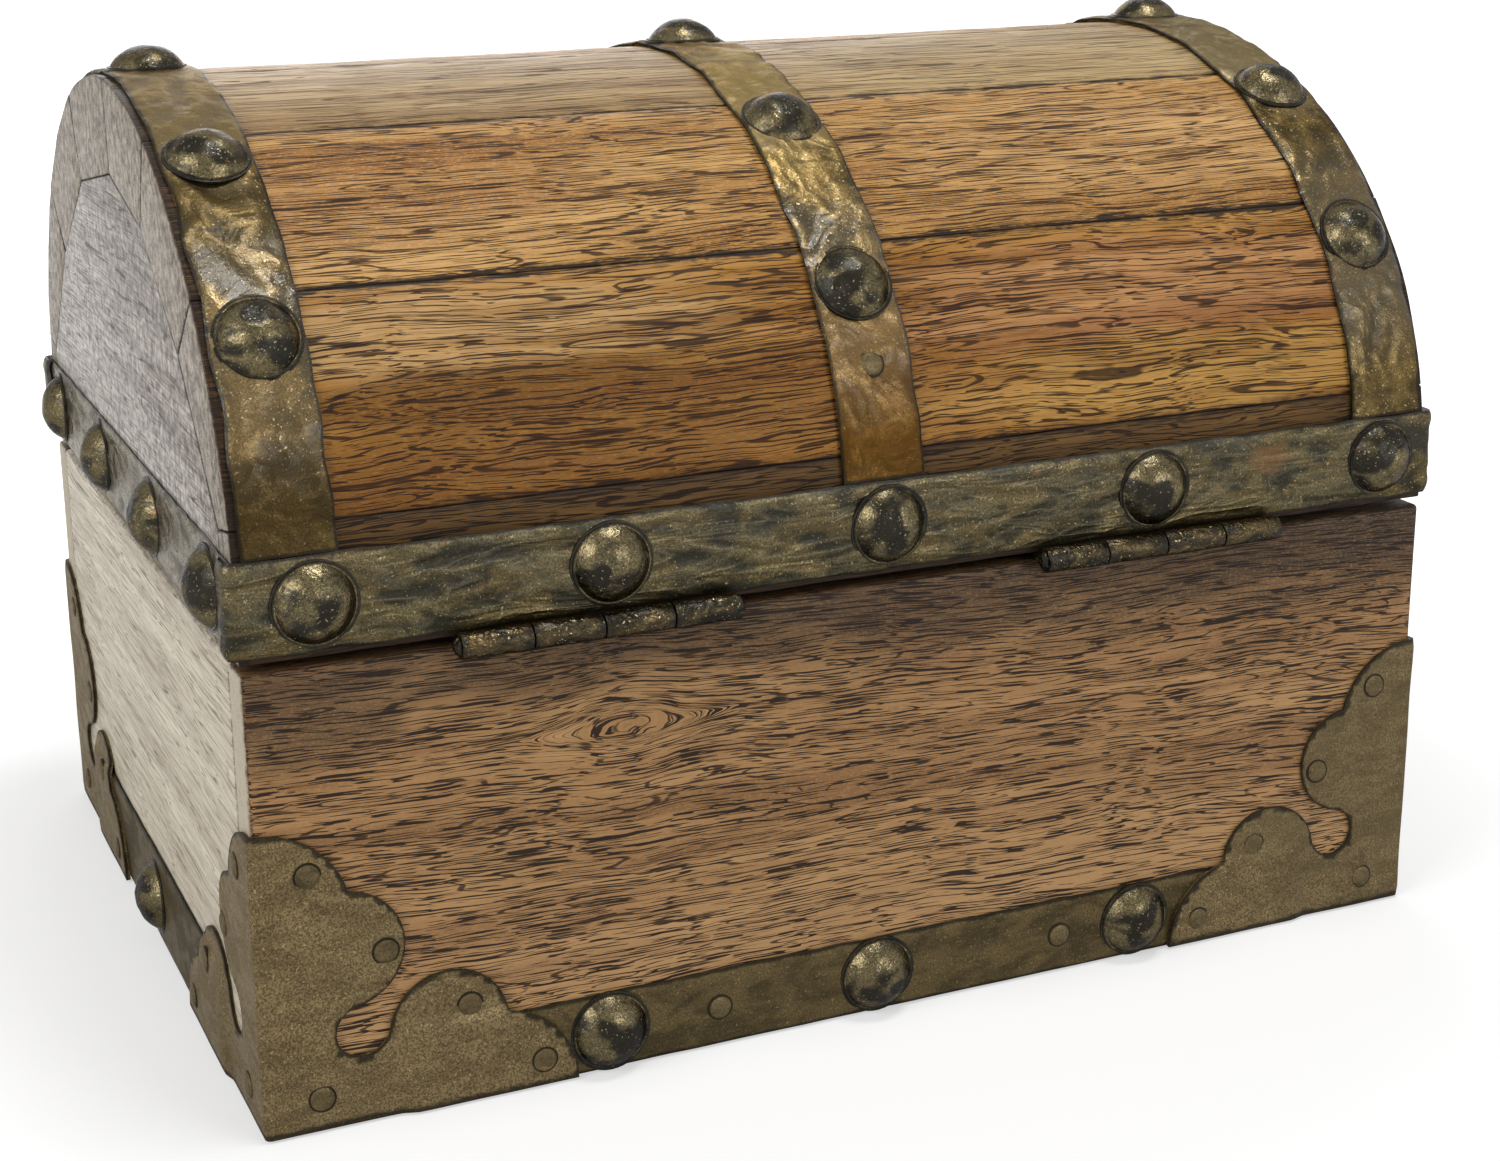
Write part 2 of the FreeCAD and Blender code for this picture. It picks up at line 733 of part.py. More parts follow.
def body_pieces():
    nodes = {
        "bottom_board": bottom_board(),
        "front_board": side_board(-1, "front").cut(staple_holes()),
        "rear_board": side_board(1, "rear").cut(body_leaf_nails(shank_clearance)),
        "left_end_board": end_board(1, "left"),
        "right_end_board": end_board(-1, "right"),
        "base_band_rear": base_band_side(1, "rear"),
        "base_band_front": base_band_side(-1, "front"),
        "base_band_left": base_band_end(1, "left"),
        "base_band_right": base_band_end(-1, "right"),
        "base_band_nails": group(copies(nail_shape(), base_nail_places["rear"] + base_nail_places["front"])),
        "hinge_leaves_body": group([hinge_leaf_body(centre) for centre in hinge_centres]),
        "hinge_pins": group([hinge_pin(centre) for centre in hinge_centres]),
        "hinge_nails_body": group(body_leaf_nails()),
        "staple": staple(),
    }
    for name, places in base_stud_places.items():
        nodes["base_studs_" + name] = group(copies(stud_shape(), places))
    for name, (on_side, on_end) in corner_nail_places.items():
        nodes["corner_plate_" + name] = corner_plate(name)
        nodes["corner_plate_nails_" + name] = group(copies(nail_shape(), on_side + on_end))
    return nodes


def lid_pieces():
    nodes = {
        "lid_rail_rear": lid_rail(1, "rear"),
        "lid_rail_front": lid_rail(-1, "front"),
        "lid_end_panel_left": lid_end_panel(1, "left"),
        "lid_end_panel_right": lid_end_panel(-1, "right"),
        "rim_band_rear": rim_band_side(1, "rear"),
        "rim_band_front": rim_band_side(-1, "front"),
        "rim_band_left": rim_band_end(1, "left"),
        "rim_band_right": rim_band_end(-1, "right"),
        "arch_band_nails": group(copies(nail_shape(), arch_nail_places["centre"])),
        "hinge_leaves_lid": group([hinge_leaf_lid(centre) for centre in hinge_centres]),
        "hinge_nails_lid": group(lid_leaf_nails()),
        "hasp_plate": hasp_plate(),
        "hasp_pin": hasp_pin(),
        "hasp_nails": group(copies(nail_shape(), hasp_nail_places)),
    }
    for index, name in enumerate(stave_names):
        nodes["lid_stave_" + name] = lid_stave(index)
    for name, places in rim_stud_places.items():
        nodes["rim_studs_" + name] = group(copies(stud_shape(), places))
    for name, places in arch_stud_places.items():
        nodes["arch_band_" + name] = arch_band(name)
        nodes["arch_studs_" + name] = group(copies(stud_shape(), places))
    return nodes


def main():
    os.makedirs("parts", exist_ok=True)
    nodes = body_pieces()
    nodes.update(lid_pieces())
    nodes["hasp_flap"] = hasp_flap()
    for name, shape in sorted(nodes.items()):
        assert shape.isValid() and shape.Volume > 0, name
        shape.exportStep("parts/" + name + ".step")
        print(name, "solids", len(shape.Solids), "volume", round(shape.Volume, 1))
    print("nodes", len(nodes))


main()
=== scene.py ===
import math
import random

import bmesh
import bpy
from mathutils import Matrix, Vector, kdtree, noise


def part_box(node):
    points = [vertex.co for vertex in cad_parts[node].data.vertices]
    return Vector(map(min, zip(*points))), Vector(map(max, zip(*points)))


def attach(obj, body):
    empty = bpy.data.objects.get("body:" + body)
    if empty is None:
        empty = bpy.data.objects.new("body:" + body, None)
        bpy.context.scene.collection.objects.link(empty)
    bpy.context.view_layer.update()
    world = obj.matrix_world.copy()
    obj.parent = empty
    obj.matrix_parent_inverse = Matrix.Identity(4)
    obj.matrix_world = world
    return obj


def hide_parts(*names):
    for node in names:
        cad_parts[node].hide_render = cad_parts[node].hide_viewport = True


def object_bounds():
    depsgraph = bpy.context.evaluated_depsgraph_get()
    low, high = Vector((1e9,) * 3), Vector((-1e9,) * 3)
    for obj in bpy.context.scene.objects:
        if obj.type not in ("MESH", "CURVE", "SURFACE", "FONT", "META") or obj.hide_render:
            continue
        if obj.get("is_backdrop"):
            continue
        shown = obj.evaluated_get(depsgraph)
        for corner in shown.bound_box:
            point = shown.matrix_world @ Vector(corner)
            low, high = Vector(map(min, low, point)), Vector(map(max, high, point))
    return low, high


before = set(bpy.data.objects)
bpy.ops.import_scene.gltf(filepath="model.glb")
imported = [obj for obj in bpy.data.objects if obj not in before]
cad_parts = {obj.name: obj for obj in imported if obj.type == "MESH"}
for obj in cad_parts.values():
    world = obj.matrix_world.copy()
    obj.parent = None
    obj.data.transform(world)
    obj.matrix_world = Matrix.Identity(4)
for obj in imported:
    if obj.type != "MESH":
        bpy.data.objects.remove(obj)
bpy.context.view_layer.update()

millimetre = 0.001  # lengths below are in millimetres, and a piece is scaled to metres when it is finished
print("frame loaded:", len(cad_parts), "nodes")

# The sizes that the solids have too
chest = {
    "halfLength": 101.5, "halfDepth": 75.0, "boardThickness": 7.5,
    "lidBottom": 73.4, "springHeight": 80.6, "lidRise": 67.4, "staveThickness": 15.0,
    "rimLow": 74.3, "rimHigh": 88.5, "rimThickness": 0.9,
    "baseThickness": 0.8, "sideBandHeight": 12.7, "endBandHeight": 16.4,
}
rimWidth = chest["rimHigh"] - chest["rimLow"]
rimMiddle = (chest["rimHigh"] + chest["rimLow"]) / 2

# Angles of the joints between the lid's staves, in degrees from the rear
staveSeams = (10.3, 38.4, 64.8, 87.7, 113.4, 141.1, 169.7)


def lidPoint(angle, lift=0.0):
    # A point over the lid's ellipse, by an angle in degrees from the rear
    turn = math.radians(angle)
    height = chest["springHeight"] + chest["lidRise"] * math.sin(turn)
    return Vector((0.0, chest["halfDepth"] * math.cos(turn), height)) + lidNormal(angle) * lift


def lidNormal(angle):
    turn = math.radians(angle)
    return Vector((0.0, math.cos(turn) / chest["halfDepth"], math.sin(turn) / chest["lidRise"])).normalized()


def put(tree, kind, inputs=None, **settings):
    # Adds one node; an input is a fixed value or another node's output
    made = tree.nodes.new("ShaderNode" + kind)
    for key, value in settings.items():
        setattr(made, key, value)
    for key, value in (inputs or {}).items():
        if isinstance(value, bpy.types.NodeSocket):
            tree.links.new(value, made.inputs[key])
        else:
            made.inputs[key].default_value = value
    return made


def calc(tree, operation, first, second=0.0):
    return put(tree, "Math", {0: first, 1: second}, operation=operation).outputs[0]


def plus(tree, first, second):
    return calc(tree, "ADD", first, second)


def minus(tree, first, second):
    return calc(tree, "SUBTRACT", first, second)


def times(tree, first, second):
    return calc(tree, "MULTIPLY", first, second)


def magnitude(tree, value):
    return calc(tree, "ABSOLUTE", value)


def vectorCalc(tree, operation, first, second):
    key = "Scale" if operation == "SCALE" else 1
    return put(tree, "VectorMath", {0: first, key: second}, operation=operation).outputs[0]


def dotProduct(tree, first, second):
    return put(tree, "VectorMath", {0: first, 1: second}, operation="DOT_PRODUCT").outputs["Value"]


def parts(tree, vector):
    return put(tree, "SeparateXYZ", {0: vector}).outputs


def ramp(tree, value, low, high, toLow=0.0, toHigh=1.0):
    inputs = {"Value": value, "From Min": low, "From Max": high, "To Min": toLow, "To Max": toHigh}
    return put(tree, "MapRange", inputs, interpolation_type="SMOOTHSTEP").outputs[0]


def mixColour(tree, factor, first, second):
    return put(tree, "Mix", {0: factor, 6: first, 7: second}, data_type="RGBA").outputs[2]


def noiseOf(tree, vector, lengths, detail=2.0, roughness=0.5, distortion=0.0, output=0):
    # Noise whose features are as long as the three lengths
    inputs = {"Vector": vectorCalc(tree, "DIVIDE", vector, lengths), "Scale": 1.0, "Detail": detail,
              "Roughness": roughness, "Distortion": distortion}
    return put(tree, "TexNoise", inputs).outputs[output]


def vectorNoise(tree, vector, lengths, detail, reach):
    # Noise that pushes a point up to half of reach either way
    pushed = vectorCalc(tree, "SUBTRACT", noiseOf(tree, vector, lengths, detail, output=1), (0.5, 0.5, 0.5))
    return vectorCalc(tree, "MULTIPLY", pushed, reach)


def newGroup(name, vectors, values, outputs, kind="Float"):
    # A group of nodes with vectors and values going in, and outputs of one kind
    tree = bpy.data.node_groups.new(name, "ShaderNodeTree")
    sockets = [(label, "INPUT", "Vector") for label in vectors]
    sockets += [(label, "INPUT", "Float") for label in values]
    sockets += [(label, "OUTPUT", kind) for label in outputs]
    for label, way, made in sockets:
        tree.interface.new_socket(name=label, in_out=way, socket_type="NodeSocket" + made)
    return tree, tree.nodes.new("NodeGroupInput").outputs, tree.nodes.new("NodeGroupOutput").inputs


def useGroup(tree, group, inputs):
    return put(tree, "Group", inputs, node_tree=group).outputs


def newMaterial(name):
    material = bpy.data.materials.new(name)
    material.use_nodes = True
    tree = material.node_tree
    return material, tree, tree.nodes["Principled BSDF"]


def colour(shade):
    # A colour picked in 0 to 255 steps, as the shader's plain light values
    return (*((value / 255.0) ** 2.2 for value in shade), 1.0)


# Three numbers are lengths along and across the grain, in millimetres; two are where a feature starts
# to show and where it shows in full
grainLook = {
    "shift": (37.0, 131.0, 71.0),
    "sways": (((70.0, 34.0, 34.0), 5.0), ((17.0, 8.0, 8.0), 1.1), ((5.0, 3.0, 3.0), 0.3)),
    "tone": (80.0, 5.0, 5.0), "cluster": (40.0, 3.6, 3.6),
    "rings": (95.0, 5.5, 5.5), "ringCount": 19.0, "waver": (12.0, 0.9, 0.9), "waverDepth": 0.4,
    "lineWidth": 0.075, "leastWidth": 0.01, "lineBreaks": (15.0, 0.8, 0.8), "breakFrom": (0.42, 0.52),
    "pores": (10.0, 0.21, 0.21), "poreFrom": (0.585, 0.617),
    "fibre": (9.0, 0.15, 0.15), "fleck": (0.6, 0.27, 0.27),
    "fibreRise": 0.3, "lineDrop": 0.5, "poreDrop": 0.6, "lineByCluster": 0.25, "lineByAmount": 0.35,
    "lineBorder": 0.45, "breakByAmount": 0.3, "poreByCluster": 0.1, "poreByAmount": 0.25,
}


def makeGrainGroup(look):
    # Lines, pores and colour bands of wood that run along X of the vector
    tree, given, out = newGroup("woodGrain", ("Vector",), ("Seed", "Warp", "Reach", "Lines", "Pores"),
                                ("Tone", "Cluster", "Line", "Pore", "Fibre", "Fleck", "Height"))
    shift = vectorCalc(tree, "SCALE", look["shift"], given["Seed"])
    place = vectorCalc(tree, "ADD", given["Vector"], shift)
    sways = [vectorNoise(tree, place, lengths, 1.0, (0.0, reach, reach)) for lengths, reach in look["sways"]]
    sway = vectorCalc(tree, "ADD", vectorCalc(tree, "ADD", sways[0], sways[1]), sways[2])
    place = vectorCalc(tree, "ADD", place, vectorCalc(tree, "SCALE", sway, given["Warp"]))
    stretch = put(tree, "CombineXYZ", {"X": given["Reach"], "Y": 1.0, "Z": 1.0}).outputs[0]
    place = vectorCalc(tree, "DIVIDE", place, stretch)

    tone = noiseOf(tree, place, look["tone"], 3.0, 0.55)
    cluster = noiseOf(tree, place, look["cluster"])
    lean = minus(tree, cluster, 0.5)
    more = minus(tree, given["Lines"], 0.5)

    # Lines follow the rings and break off here and there
    rings = times(tree, noiseOf(tree, place, look["rings"], 2.0, 0.45), look["ringCount"])
    rings = plus(tree, rings, times(tree, noiseOf(tree, place, look["waver"], 1.0), look["waverDepth"]))
    width = plus(tree, times(tree, lean, look["lineByCluster"]), times(tree, more, look["lineByAmount"]))
    width = calc(tree, "MAXIMUM", plus(tree, width, look["lineWidth"]), look["leastWidth"])
    line = ramp(tree, calc(tree, "PINGPONG", rings, 0.5), width, times(tree, width, look["lineBorder"]))
    broken = noiseOf(tree, place, look["lineBreaks"], 1.0)
    broken = plus(tree, broken, times(tree, more, look["breakByAmount"]))
    line = times(tree, line, ramp(tree, broken, *look["breakFrom"]))

    # Pores are short dashes, thicker where the lines are too
    pores = times(tree, minus(tree, given["Pores"], 0.5), look["poreByAmount"])
    pores = plus(tree, times(tree, lean, look["poreByCluster"]), pores)
    pores = plus(tree, pores, noiseOf(tree, place, look["pores"], 0.4))
    pore = ramp(tree, pores, *look["poreFrom"])
    fibre = noiseOf(tree, place, look["fibre"], 2.0, 0.6)
    fleck = noiseOf(tree, place, look["fleck"], 2.0, 0.65)
    height = minus(tree, times(tree, fibre, look["fibreRise"]), times(tree, line, look["lineDrop"]))
    height = minus(tree, height, times(tree, pore, look["poreDrop"]))
    for value, socket in zip((tone, cluster, line, pore, fibre, fleck, height), out):
        tree.links.new(value, socket)
    return tree


eyeLook = {"strays": (9.0, 5.0, 3.0), "strayReach": (6.0, 0.0, 1.6), "closest": 0.01, "innerLoops": 2.4}


def makeEyeGroup(look):
    # Opens the grain into closed loops round one point, Size long and Size high
    tree, given, out = newGroup("grainEye", ("Vector", "Centre", "Size"), (), ("Vector",), "Vector")
    stray = vectorNoise(tree, given["Vector"], look["strays"], 2.0, look["strayReach"])
    stray = vectorCalc(tree, "ADD", given["Vector"], stray)
    away = parts(tree, vectorCalc(tree, "SUBTRACT", stray, given["Centre"]))
    reach = parts(tree, given["Size"])
    along = calc(tree, "DIVIDE", away["X"], reach["X"])
    fade = calc(tree, "EXPONENT", times(tree, times(tree, along, along), -1.0))
    opening = times(tree, reach["Z"], fade)
    opening = times(tree, opening, opening)

    # The field is below zero inside the eye, where the level counts the loops
    field = minus(tree, times(tree, away["Z"], away["Z"]), opening)
    spread = plus(tree, plus(tree, magnitude(tree, field), opening), look["closest"])
    level = calc(tree, "DIVIDE", field, calc(tree, "SQRT", spread))
    outside = calc(tree, "GREATER_THAN", field, 0.0)
    loops = minus(tree, look["innerLoops"], times(tree, outside, look["innerLoops"] - 1.0))
    level = times(tree, level, loops)
    below = times(tree, outside, calc(tree, "LESS_THAN", away["Z"], 0.0))
    level = times(tree, level, minus(tree, 1.0, times(tree, below, 2.0)))
    lift = put(tree, "CombineXYZ", {"Z": minus(tree, level, away["Z"])}).outputs[0]
    tree.links.new(vectorCalc(tree, "ADD", given["Vector"], lift), out["Vector"])
    return tree


patchLook = {"breaks": (16.0, 4.0, 3.0), "raggedness": 2.4, "border": (1.4, 0.2)}


def makePatchGroup(look):
    # A soft-edged patch round one point, broken up by noise
    tree, given, out = newGroup("softPatch", ("Vector", "Centre", "Size"), (), ("Mask",))
    away = vectorCalc(tree, "SUBTRACT", given["Vector"], given["Centre"])
    away = vectorCalc(tree, "DIVIDE", away, given["Size"])
    broken = minus(tree, noiseOf(tree, given["Vector"], look["breaks"], 3.0, 0.6), 0.5)
    reach = plus(tree, dotProduct(tree, away, away), times(tree, broken, look["raggedness"]))
    tree.links.new(ramp(tree, reach, *look["border"]), out["Mask"])
    return tree


# Three numbers are lengths in millimetres; two are where a feature starts to show and where it shows in full
agedLook = {
    "shift": (41.0, 17.0, 89.0), "mottle": (8.0, 8.0, 4.0), "grit": (0.3, 0.3, 0.3), "stain": (5.0, 5.0, 3.2),
    "chip": (4.6, 4.6, 3.4), "chipShift": (7.0, 3.0, 5.0), "fleck": (0.4, 0.4, 0.4), "pits": (1.3, 1.3, 1.1),
    "foldSteepness": 5.0, "gritRise": 0.22, "pitRise": 0.35, "stainFrom": (0.55, 0.66),
    "chipFrom": (0.67, 0.75), "fleckFrom": (0.66, 0.74), "crestHighlightFrom": (0.62, 0.95),
}


def makeMetalGroup(look):
    # Mottling, grit, stains and chips of old hammered metal, and the crests of its folds, which the finishes
    # paint lighter as a painted highlight
    tree, given, out = newGroup("agedMetal", ("Vector", "Folds"), ("Seed", "Grain", "Crease"),
                                ("Mottle", "Grit", "Stain", "Chip", "Fleck", "Crest", "Height"))
    shift = vectorCalc(tree, "SCALE", look["shift"], given["Seed"])
    place = vectorCalc(tree, "ADD", given["Vector"], shift)
    fine = vectorCalc(tree, "SCALE", place, calc(tree, "DIVIDE", 1.0, given["Grain"]))
    mottle = noiseOf(tree, place, look["mottle"], 4.0, 0.62, 0.8)
    grit = noiseOf(tree, fine, look["grit"], 3.0, 0.65)
    stain = ramp(tree, noiseOf(tree, place, look["stain"], 4.0, 0.62, 1.2), *look["stainFrom"])
    beside = vectorCalc(tree, "ADD", place, look["chipShift"])
    chip = ramp(tree, noiseOf(tree, beside, look["chip"], 3.0, 0.6), *look["chipFrom"])
    fleck = ramp(tree, noiseOf(tree, fine, look["fleck"], 1.0), *look["fleckFrom"])
    folds = minus(tree, noiseOf(tree, place, given["Folds"], 2.5, 0.5, 0.7), 0.5)
    folds = minus(tree, 1.0, magnitude(tree, times(tree, folds, look["foldSteepness"])))
    crest = ramp(tree, folds, *look["crestHighlightFrom"])
    pits = noiseOf(tree, place, look["pits"], 3.0, 0.6)
    height = plus(tree, times(tree, grit, look["gritRise"]), times(tree, pits, look["pitRise"]))
    height = plus(tree, height, times(tree, folds, given["Crease"]))
    for value, socket in zip((mottle, grit, stain, chip, fleck, crest, height), out):
        tree.links.new(value, socket)
    return tree


edgeLook = {"breaks": (3.2, 1.6, 1.6), "raggedness": 0.9, "border": (0.25, 0.75)}


def makeEdgeGroup(look):
    # Breaks up the mask that a mesh carries along its edges
    tree, given, out = newGroup("edgeGrimeAndShade", ("Vector",), ("Mask", "Amount"), ("Grime",))
    broken = minus(tree, noiseOf(tree, given["Vector"], look["breaks"], 3.0, 0.6), 0.5)
    spread = plus(tree, given["Mask"], times(tree, broken, look["raggedness"]))
    mask = times(tree, ramp(tree, spread, *look["border"]), given["Amount"])
    tree.links.new(mask, out["Grime"])
    return tree


grainGroup = makeGrainGroup(grainLook)
eyeGroup = makeEyeGroup(eyeLook)
patchGroup = makePatchGroup(patchLook)
metalGroup = makeMetalGroup(agedLook)
edgeGroup = makeEdgeGroup(edgeLook)
print("shared effects made")


def inMillimetres(tree, place):
    return put(tree, "Mapping", {"Vector": place, "Scale": (1 / millimetre,) * 3}).outputs[0]


def meshMask(tree, name):
    return put(tree, "Attribute", attribute_name=name, attribute_type="GEOMETRY").outputs["Fac"]


def addPatches(tree, base, vector, patches):
    for centre, reach, amount, shade in patches:
        patch = useGroup(tree, patchGroup, {"Vector": vector, "Centre": centre, "Size": reach})[0]
        base = mixColour(tree, times(tree, patch, amount), base, colour(shade))
    return base


# Darkens a piece along its edges: grime, and painted contact shade where the piece meets other parts
def addGrimeAndShade(tree, base, vector, look):
    inputs = {"Mask": meshMask(tree, "edgeMask"), "Vector": vector, "Amount": look["grime"]}
    grime = useGroup(tree, edgeGroup, inputs)["Grime"]
    return grime, mixColour(tree, grime, base, colour(look["grimeAndShadeColour"]))


# Used by every wood that doesn't say otherwise. Lean is in degrees, along is the axis of the grain,
# and a patch is its centre, reach, amount and colour. Two numbers say between which values a change
# happens, and a third and fourth say how strong it is at either end
plainWood = {
    "lean": 0.0, "along": "x", "fineness": 1.0, "warp": 1.0, "reach": 1.0, "fleck": 0.15,
    "lineDepth": 0.85, "poreDepth": 0.9, "endShare": 0.0, "endGrainAndSheenColour": (150, 134, 112), "specular": 0.25,
    "bump": 0.5, "bumpDistance": 0.0002, "grime": 0.85, "grimeAndShadeColour": (38, 28, 20),
    "eyes": (), "patches": (), "shades": (), "seams": (), "seamColour": (30, 26, 20),
    "seamBreaks": (7.0, 0.8, 0.8), "seamRaggedness": 6, "shadeBreaks": (30.0, 30.0, 4.0),
    "charred": None, "charredFrom": (99.6, 100.2), "charredFacing": (0.3, 0.6),
    "charredBreaks": (3.0, 0.3, 0.3), "charredTicks": (0.42, 0.6, 0.78, 1.0), "toMid": (0.38, 0.5),
    "toDeep": (0.5, 0.64),
    "clusters": (0.48, 0.7, 0.0, 0.55), "fibres": (0.36, 0.66, 0.0, 0.4), "flecks": (0.5, 0.68),
    "endFrom": (0.55, 0.85), "hollowRough": 0.2,
}


def addSeam(tree, base, plain, seam, look):
    # A dark joint line with a ragged border, across one direction from a point on it
    centre, across, width, amount = seam
    away = dotProduct(tree, vectorCalc(tree, "SUBTRACT", plain, centre), across)
    ragged = minus(tree, noiseOf(tree, plain, look["seamBreaks"], 3.0, 0.62), 0.42)
    gap = minus(tree, magnitude(tree, away), times(tree, ragged, width * look["seamRaggedness"]))
    return mixColour(tree, ramp(tree, gap, 0.1, -0.1, 0.0, amount), base, colour(look["seamColour"]))


def addShade(tree, base, plain, shade, look):
    # A tint that grows along one axis, with a broken border
    axis, low, high, amount, tint = shade
    broken = minus(tree, noiseOf(tree, plain, look["shadeBreaks"], 3.0, 0.6), 0.5)
    where = plus(tree, parts(tree, plain)[axis], times(tree, broken, abs(high - low) * 1.5))
    return mixColour(tree, ramp(tree, where, low, high, 0.0, amount), base, colour(tint))


def addCharring(tree, base, plain, facing, look):
    # The strip of stave between the arch band and the lid's end is scorched, with fine cross lines
    ticks = ramp(tree, noiseOf(tree, plain, look["charredBreaks"], 1.0), *look["charredTicks"])
    outward = ramp(tree, magnitude(tree, parts(tree, plain)[0]), *look["charredFrom"])
    strip = times(tree, outward, minus(tree, 1.0, ramp(tree, facing, *look["charredFacing"])))
    return mixColour(tree, times(tree, strip, ticks), base, colour(look["charred"]))


def woodMaterial(name, look):
    material, tree, shader = newMaterial(name)
    coordinates = put(tree, "TexCoord").outputs
    plain = inMillimetres(tree, coordinates["Object"])
    vector = plain
    for centre, reach in look["eyes"]:
        vector = useGroup(tree, eyeGroup, {"Vector": vector, "Centre": centre, "Size": reach})[0]
    turn = (0.0, math.radians(look["lean"]), 0.0) if look["along"] == "x" else (0.0, 0.0, -math.pi / 2)
    fineness = (look["fineness"],) * 3
    vector = put(tree, "Mapping", {"Vector": vector, "Rotation": turn, "Scale": fineness}).outputs[0]
    grain = useGroup(tree, grainGroup, {
        "Vector": vector, "Seed": look["seed"], "Warp": look["warp"], "Reach": look["reach"],
        "Lines": look["lines"], "Pores": look["pores"]})

    pale, mid, deep, dark = (colour(look[key]) for key in ("pale", "mid", "deep", "dark"))
    base = mixColour(tree, ramp(tree, grain["Tone"], *look["toMid"]), pale, mid)
    base = mixColour(tree, ramp(tree, grain["Tone"], *look["toDeep"]), base, deep)
    base = addPatches(tree, base, plain, look["patches"])
    base = mixColour(tree, ramp(tree, grain["Cluster"], *look["clusters"]), base, deep)
    base = mixColour(tree, ramp(tree, grain["Fibre"], *look["fibres"]), base, deep)
    base = mixColour(tree, ramp(tree, grain["Fleck"], *look["flecks"], 0.0, look["fleck"]), base, pale)
    for shade in look["shades"]:
        base = addShade(tree, base, plain, shade, look)

    # Faces at the ends of the grain are greyer and paler, partly end grain and partly painted sheen, and show
    # no lines
    facing = magnitude(tree, parts(tree, coordinates["Normal"])[0])
    endFace = ramp(tree, facing, *look["endFrom"], 0.0, look["endShare"])
    base = mixColour(tree, endFace, base, colour(look["endGrainAndSheenColour"]))
    solid = minus(tree, 1.0, times(tree, endFace, 0.95))
    for label, depth in (("Line", look["lineDepth"]), ("Pore", look["poreDepth"])):
        base = mixColour(tree, times(tree, times(tree, grain[label], solid), depth), base, dark)
    for seam in look["seams"]:
        base = addSeam(tree, base, plain, seam, look)
    if look["charred"]:
        base = addCharring(tree, base, plain, facing, look)
    base = addGrimeAndShade(tree, base, plain, look)[1]
    tree.links.new(base, shader.inputs["Base Color"])

    hollow = calc(tree, "MAXIMUM", grain["Line"], grain["Pore"])
    rough = ramp(tree, hollow, 0.0, 1.0, look["roughness"], look["roughness"] + look["hollowRough"])
    tree.links.new(rough, shader.inputs["Roughness"])
    shader.inputs["Specular IOR Level"].default_value = look["specular"]
    inputs = {"Height": grain["Height"], "Strength": look["bump"], "Distance": look["bumpDistance"]}
    tree.links.new(put(tree, "Bump", inputs).outputs[0], shader.inputs["Normal"])
    return material


# Darkens the body boards towards the top, under the lid: partly smoke stain, partly painted shade from the
# lid's overhang
smokeAndShade = (48, 38, 27)
longBoard = {
    "pale": (170, 132, 88), "mid": (156, 118, 77), "deep": (126, 92, 58), "dark": (30, 19, 11),
    "lines": 0.56, "pores": 0.62, "poreDepth": 0.97, "roughness": 0.5, "fleck": 0.45,
    "endShare": 0.9, "endGrainAndSheenColour": (180, 170, 150),
}
bodyWood = {
    "rear": {**longBoard, "seed": 1.0, "lean": 2.0,
             "eyes": (((44.0, 75.0, 55.6), (12.0, 1.0, 3.0)),),
             "patches": (((93.0, 75.0, 64.0), (16.0, 40.0, 7.0), 0.65, smokeAndShade),
                         ((30.0, 75.0, 71.0), (60.0, 40.0, 8.0), 0.7, smokeAndShade),
                         ((-50.0, 75.0, 68.0), (70.0, 40.0, 10.0), 0.8, smokeAndShade),
                         ((-88.0, 75.0, 69.0), (30.0, 40.0, 12.0), 0.9, smokeAndShade)),
             "shades": ((2, 54.0, 72.0, 0.5, smokeAndShade), (2, 34.0, 14.0, 0.5, (184, 146, 101)))},
    "front": {**longBoard, "seed": 2.0, "lean": -1.5, "warp": 1.1,
              "eyes": (((-42.0, -75.0, 40.0), (15.0, 1.0, 3.0)),),
              "shades": ((2, 54.0, 73.0, 0.55, smokeAndShade),)},
    # The end boards are written paler and greyer than the long boards: partly their own wood, partly painted
    # sheen, most on the left end
    "left": {"seed": 3.0, "along": "y", "warp": 0.6, "fineness": 1.5, "reach": 2.2,
             "pale": (206, 196, 176), "mid": (194, 183, 162), "deep": (168, 155, 135), "dark": (48, 39, 32),
             "lines": 0.56, "pores": 0.5, "roughness": 0.4, "poreDepth": 0.42, "lineDepth": 0.55},
    "right": {"seed": 4.0, "along": "y", "warp": 0.7, "fineness": 1.4, "reach": 2.0,
              "pale": (192, 174, 146), "mid": (178, 160, 131), "deep": (150, 131, 104), "dark": (58, 46, 35),
              "lines": 0.5, "pores": 0.51, "roughness": 0.42, "poreDepth": 0.5, "lineDepth": 0.6},
    "bottom": {"seed": 5.0,
               "pale": (176, 144, 104), "mid": (158, 126, 88), "deep": (132, 102, 68), "dark": (62, 44, 30),
               "lines": 0.5, "pores": 0.56, "roughness": 0.6},
}
bodyWoods = {name: woodMaterial("wood_" + name, {**plainWood, **look}) for name, look in bodyWood.items()}


def seamLine(angle, width, amount):
    # The dark line of a joint between staves: a point on it, the way across it, its width and how dark it is
    normal = lidNormal(angle)
    return lidPoint(angle), Vector((0.0, -normal.z, normal.y)), width, amount


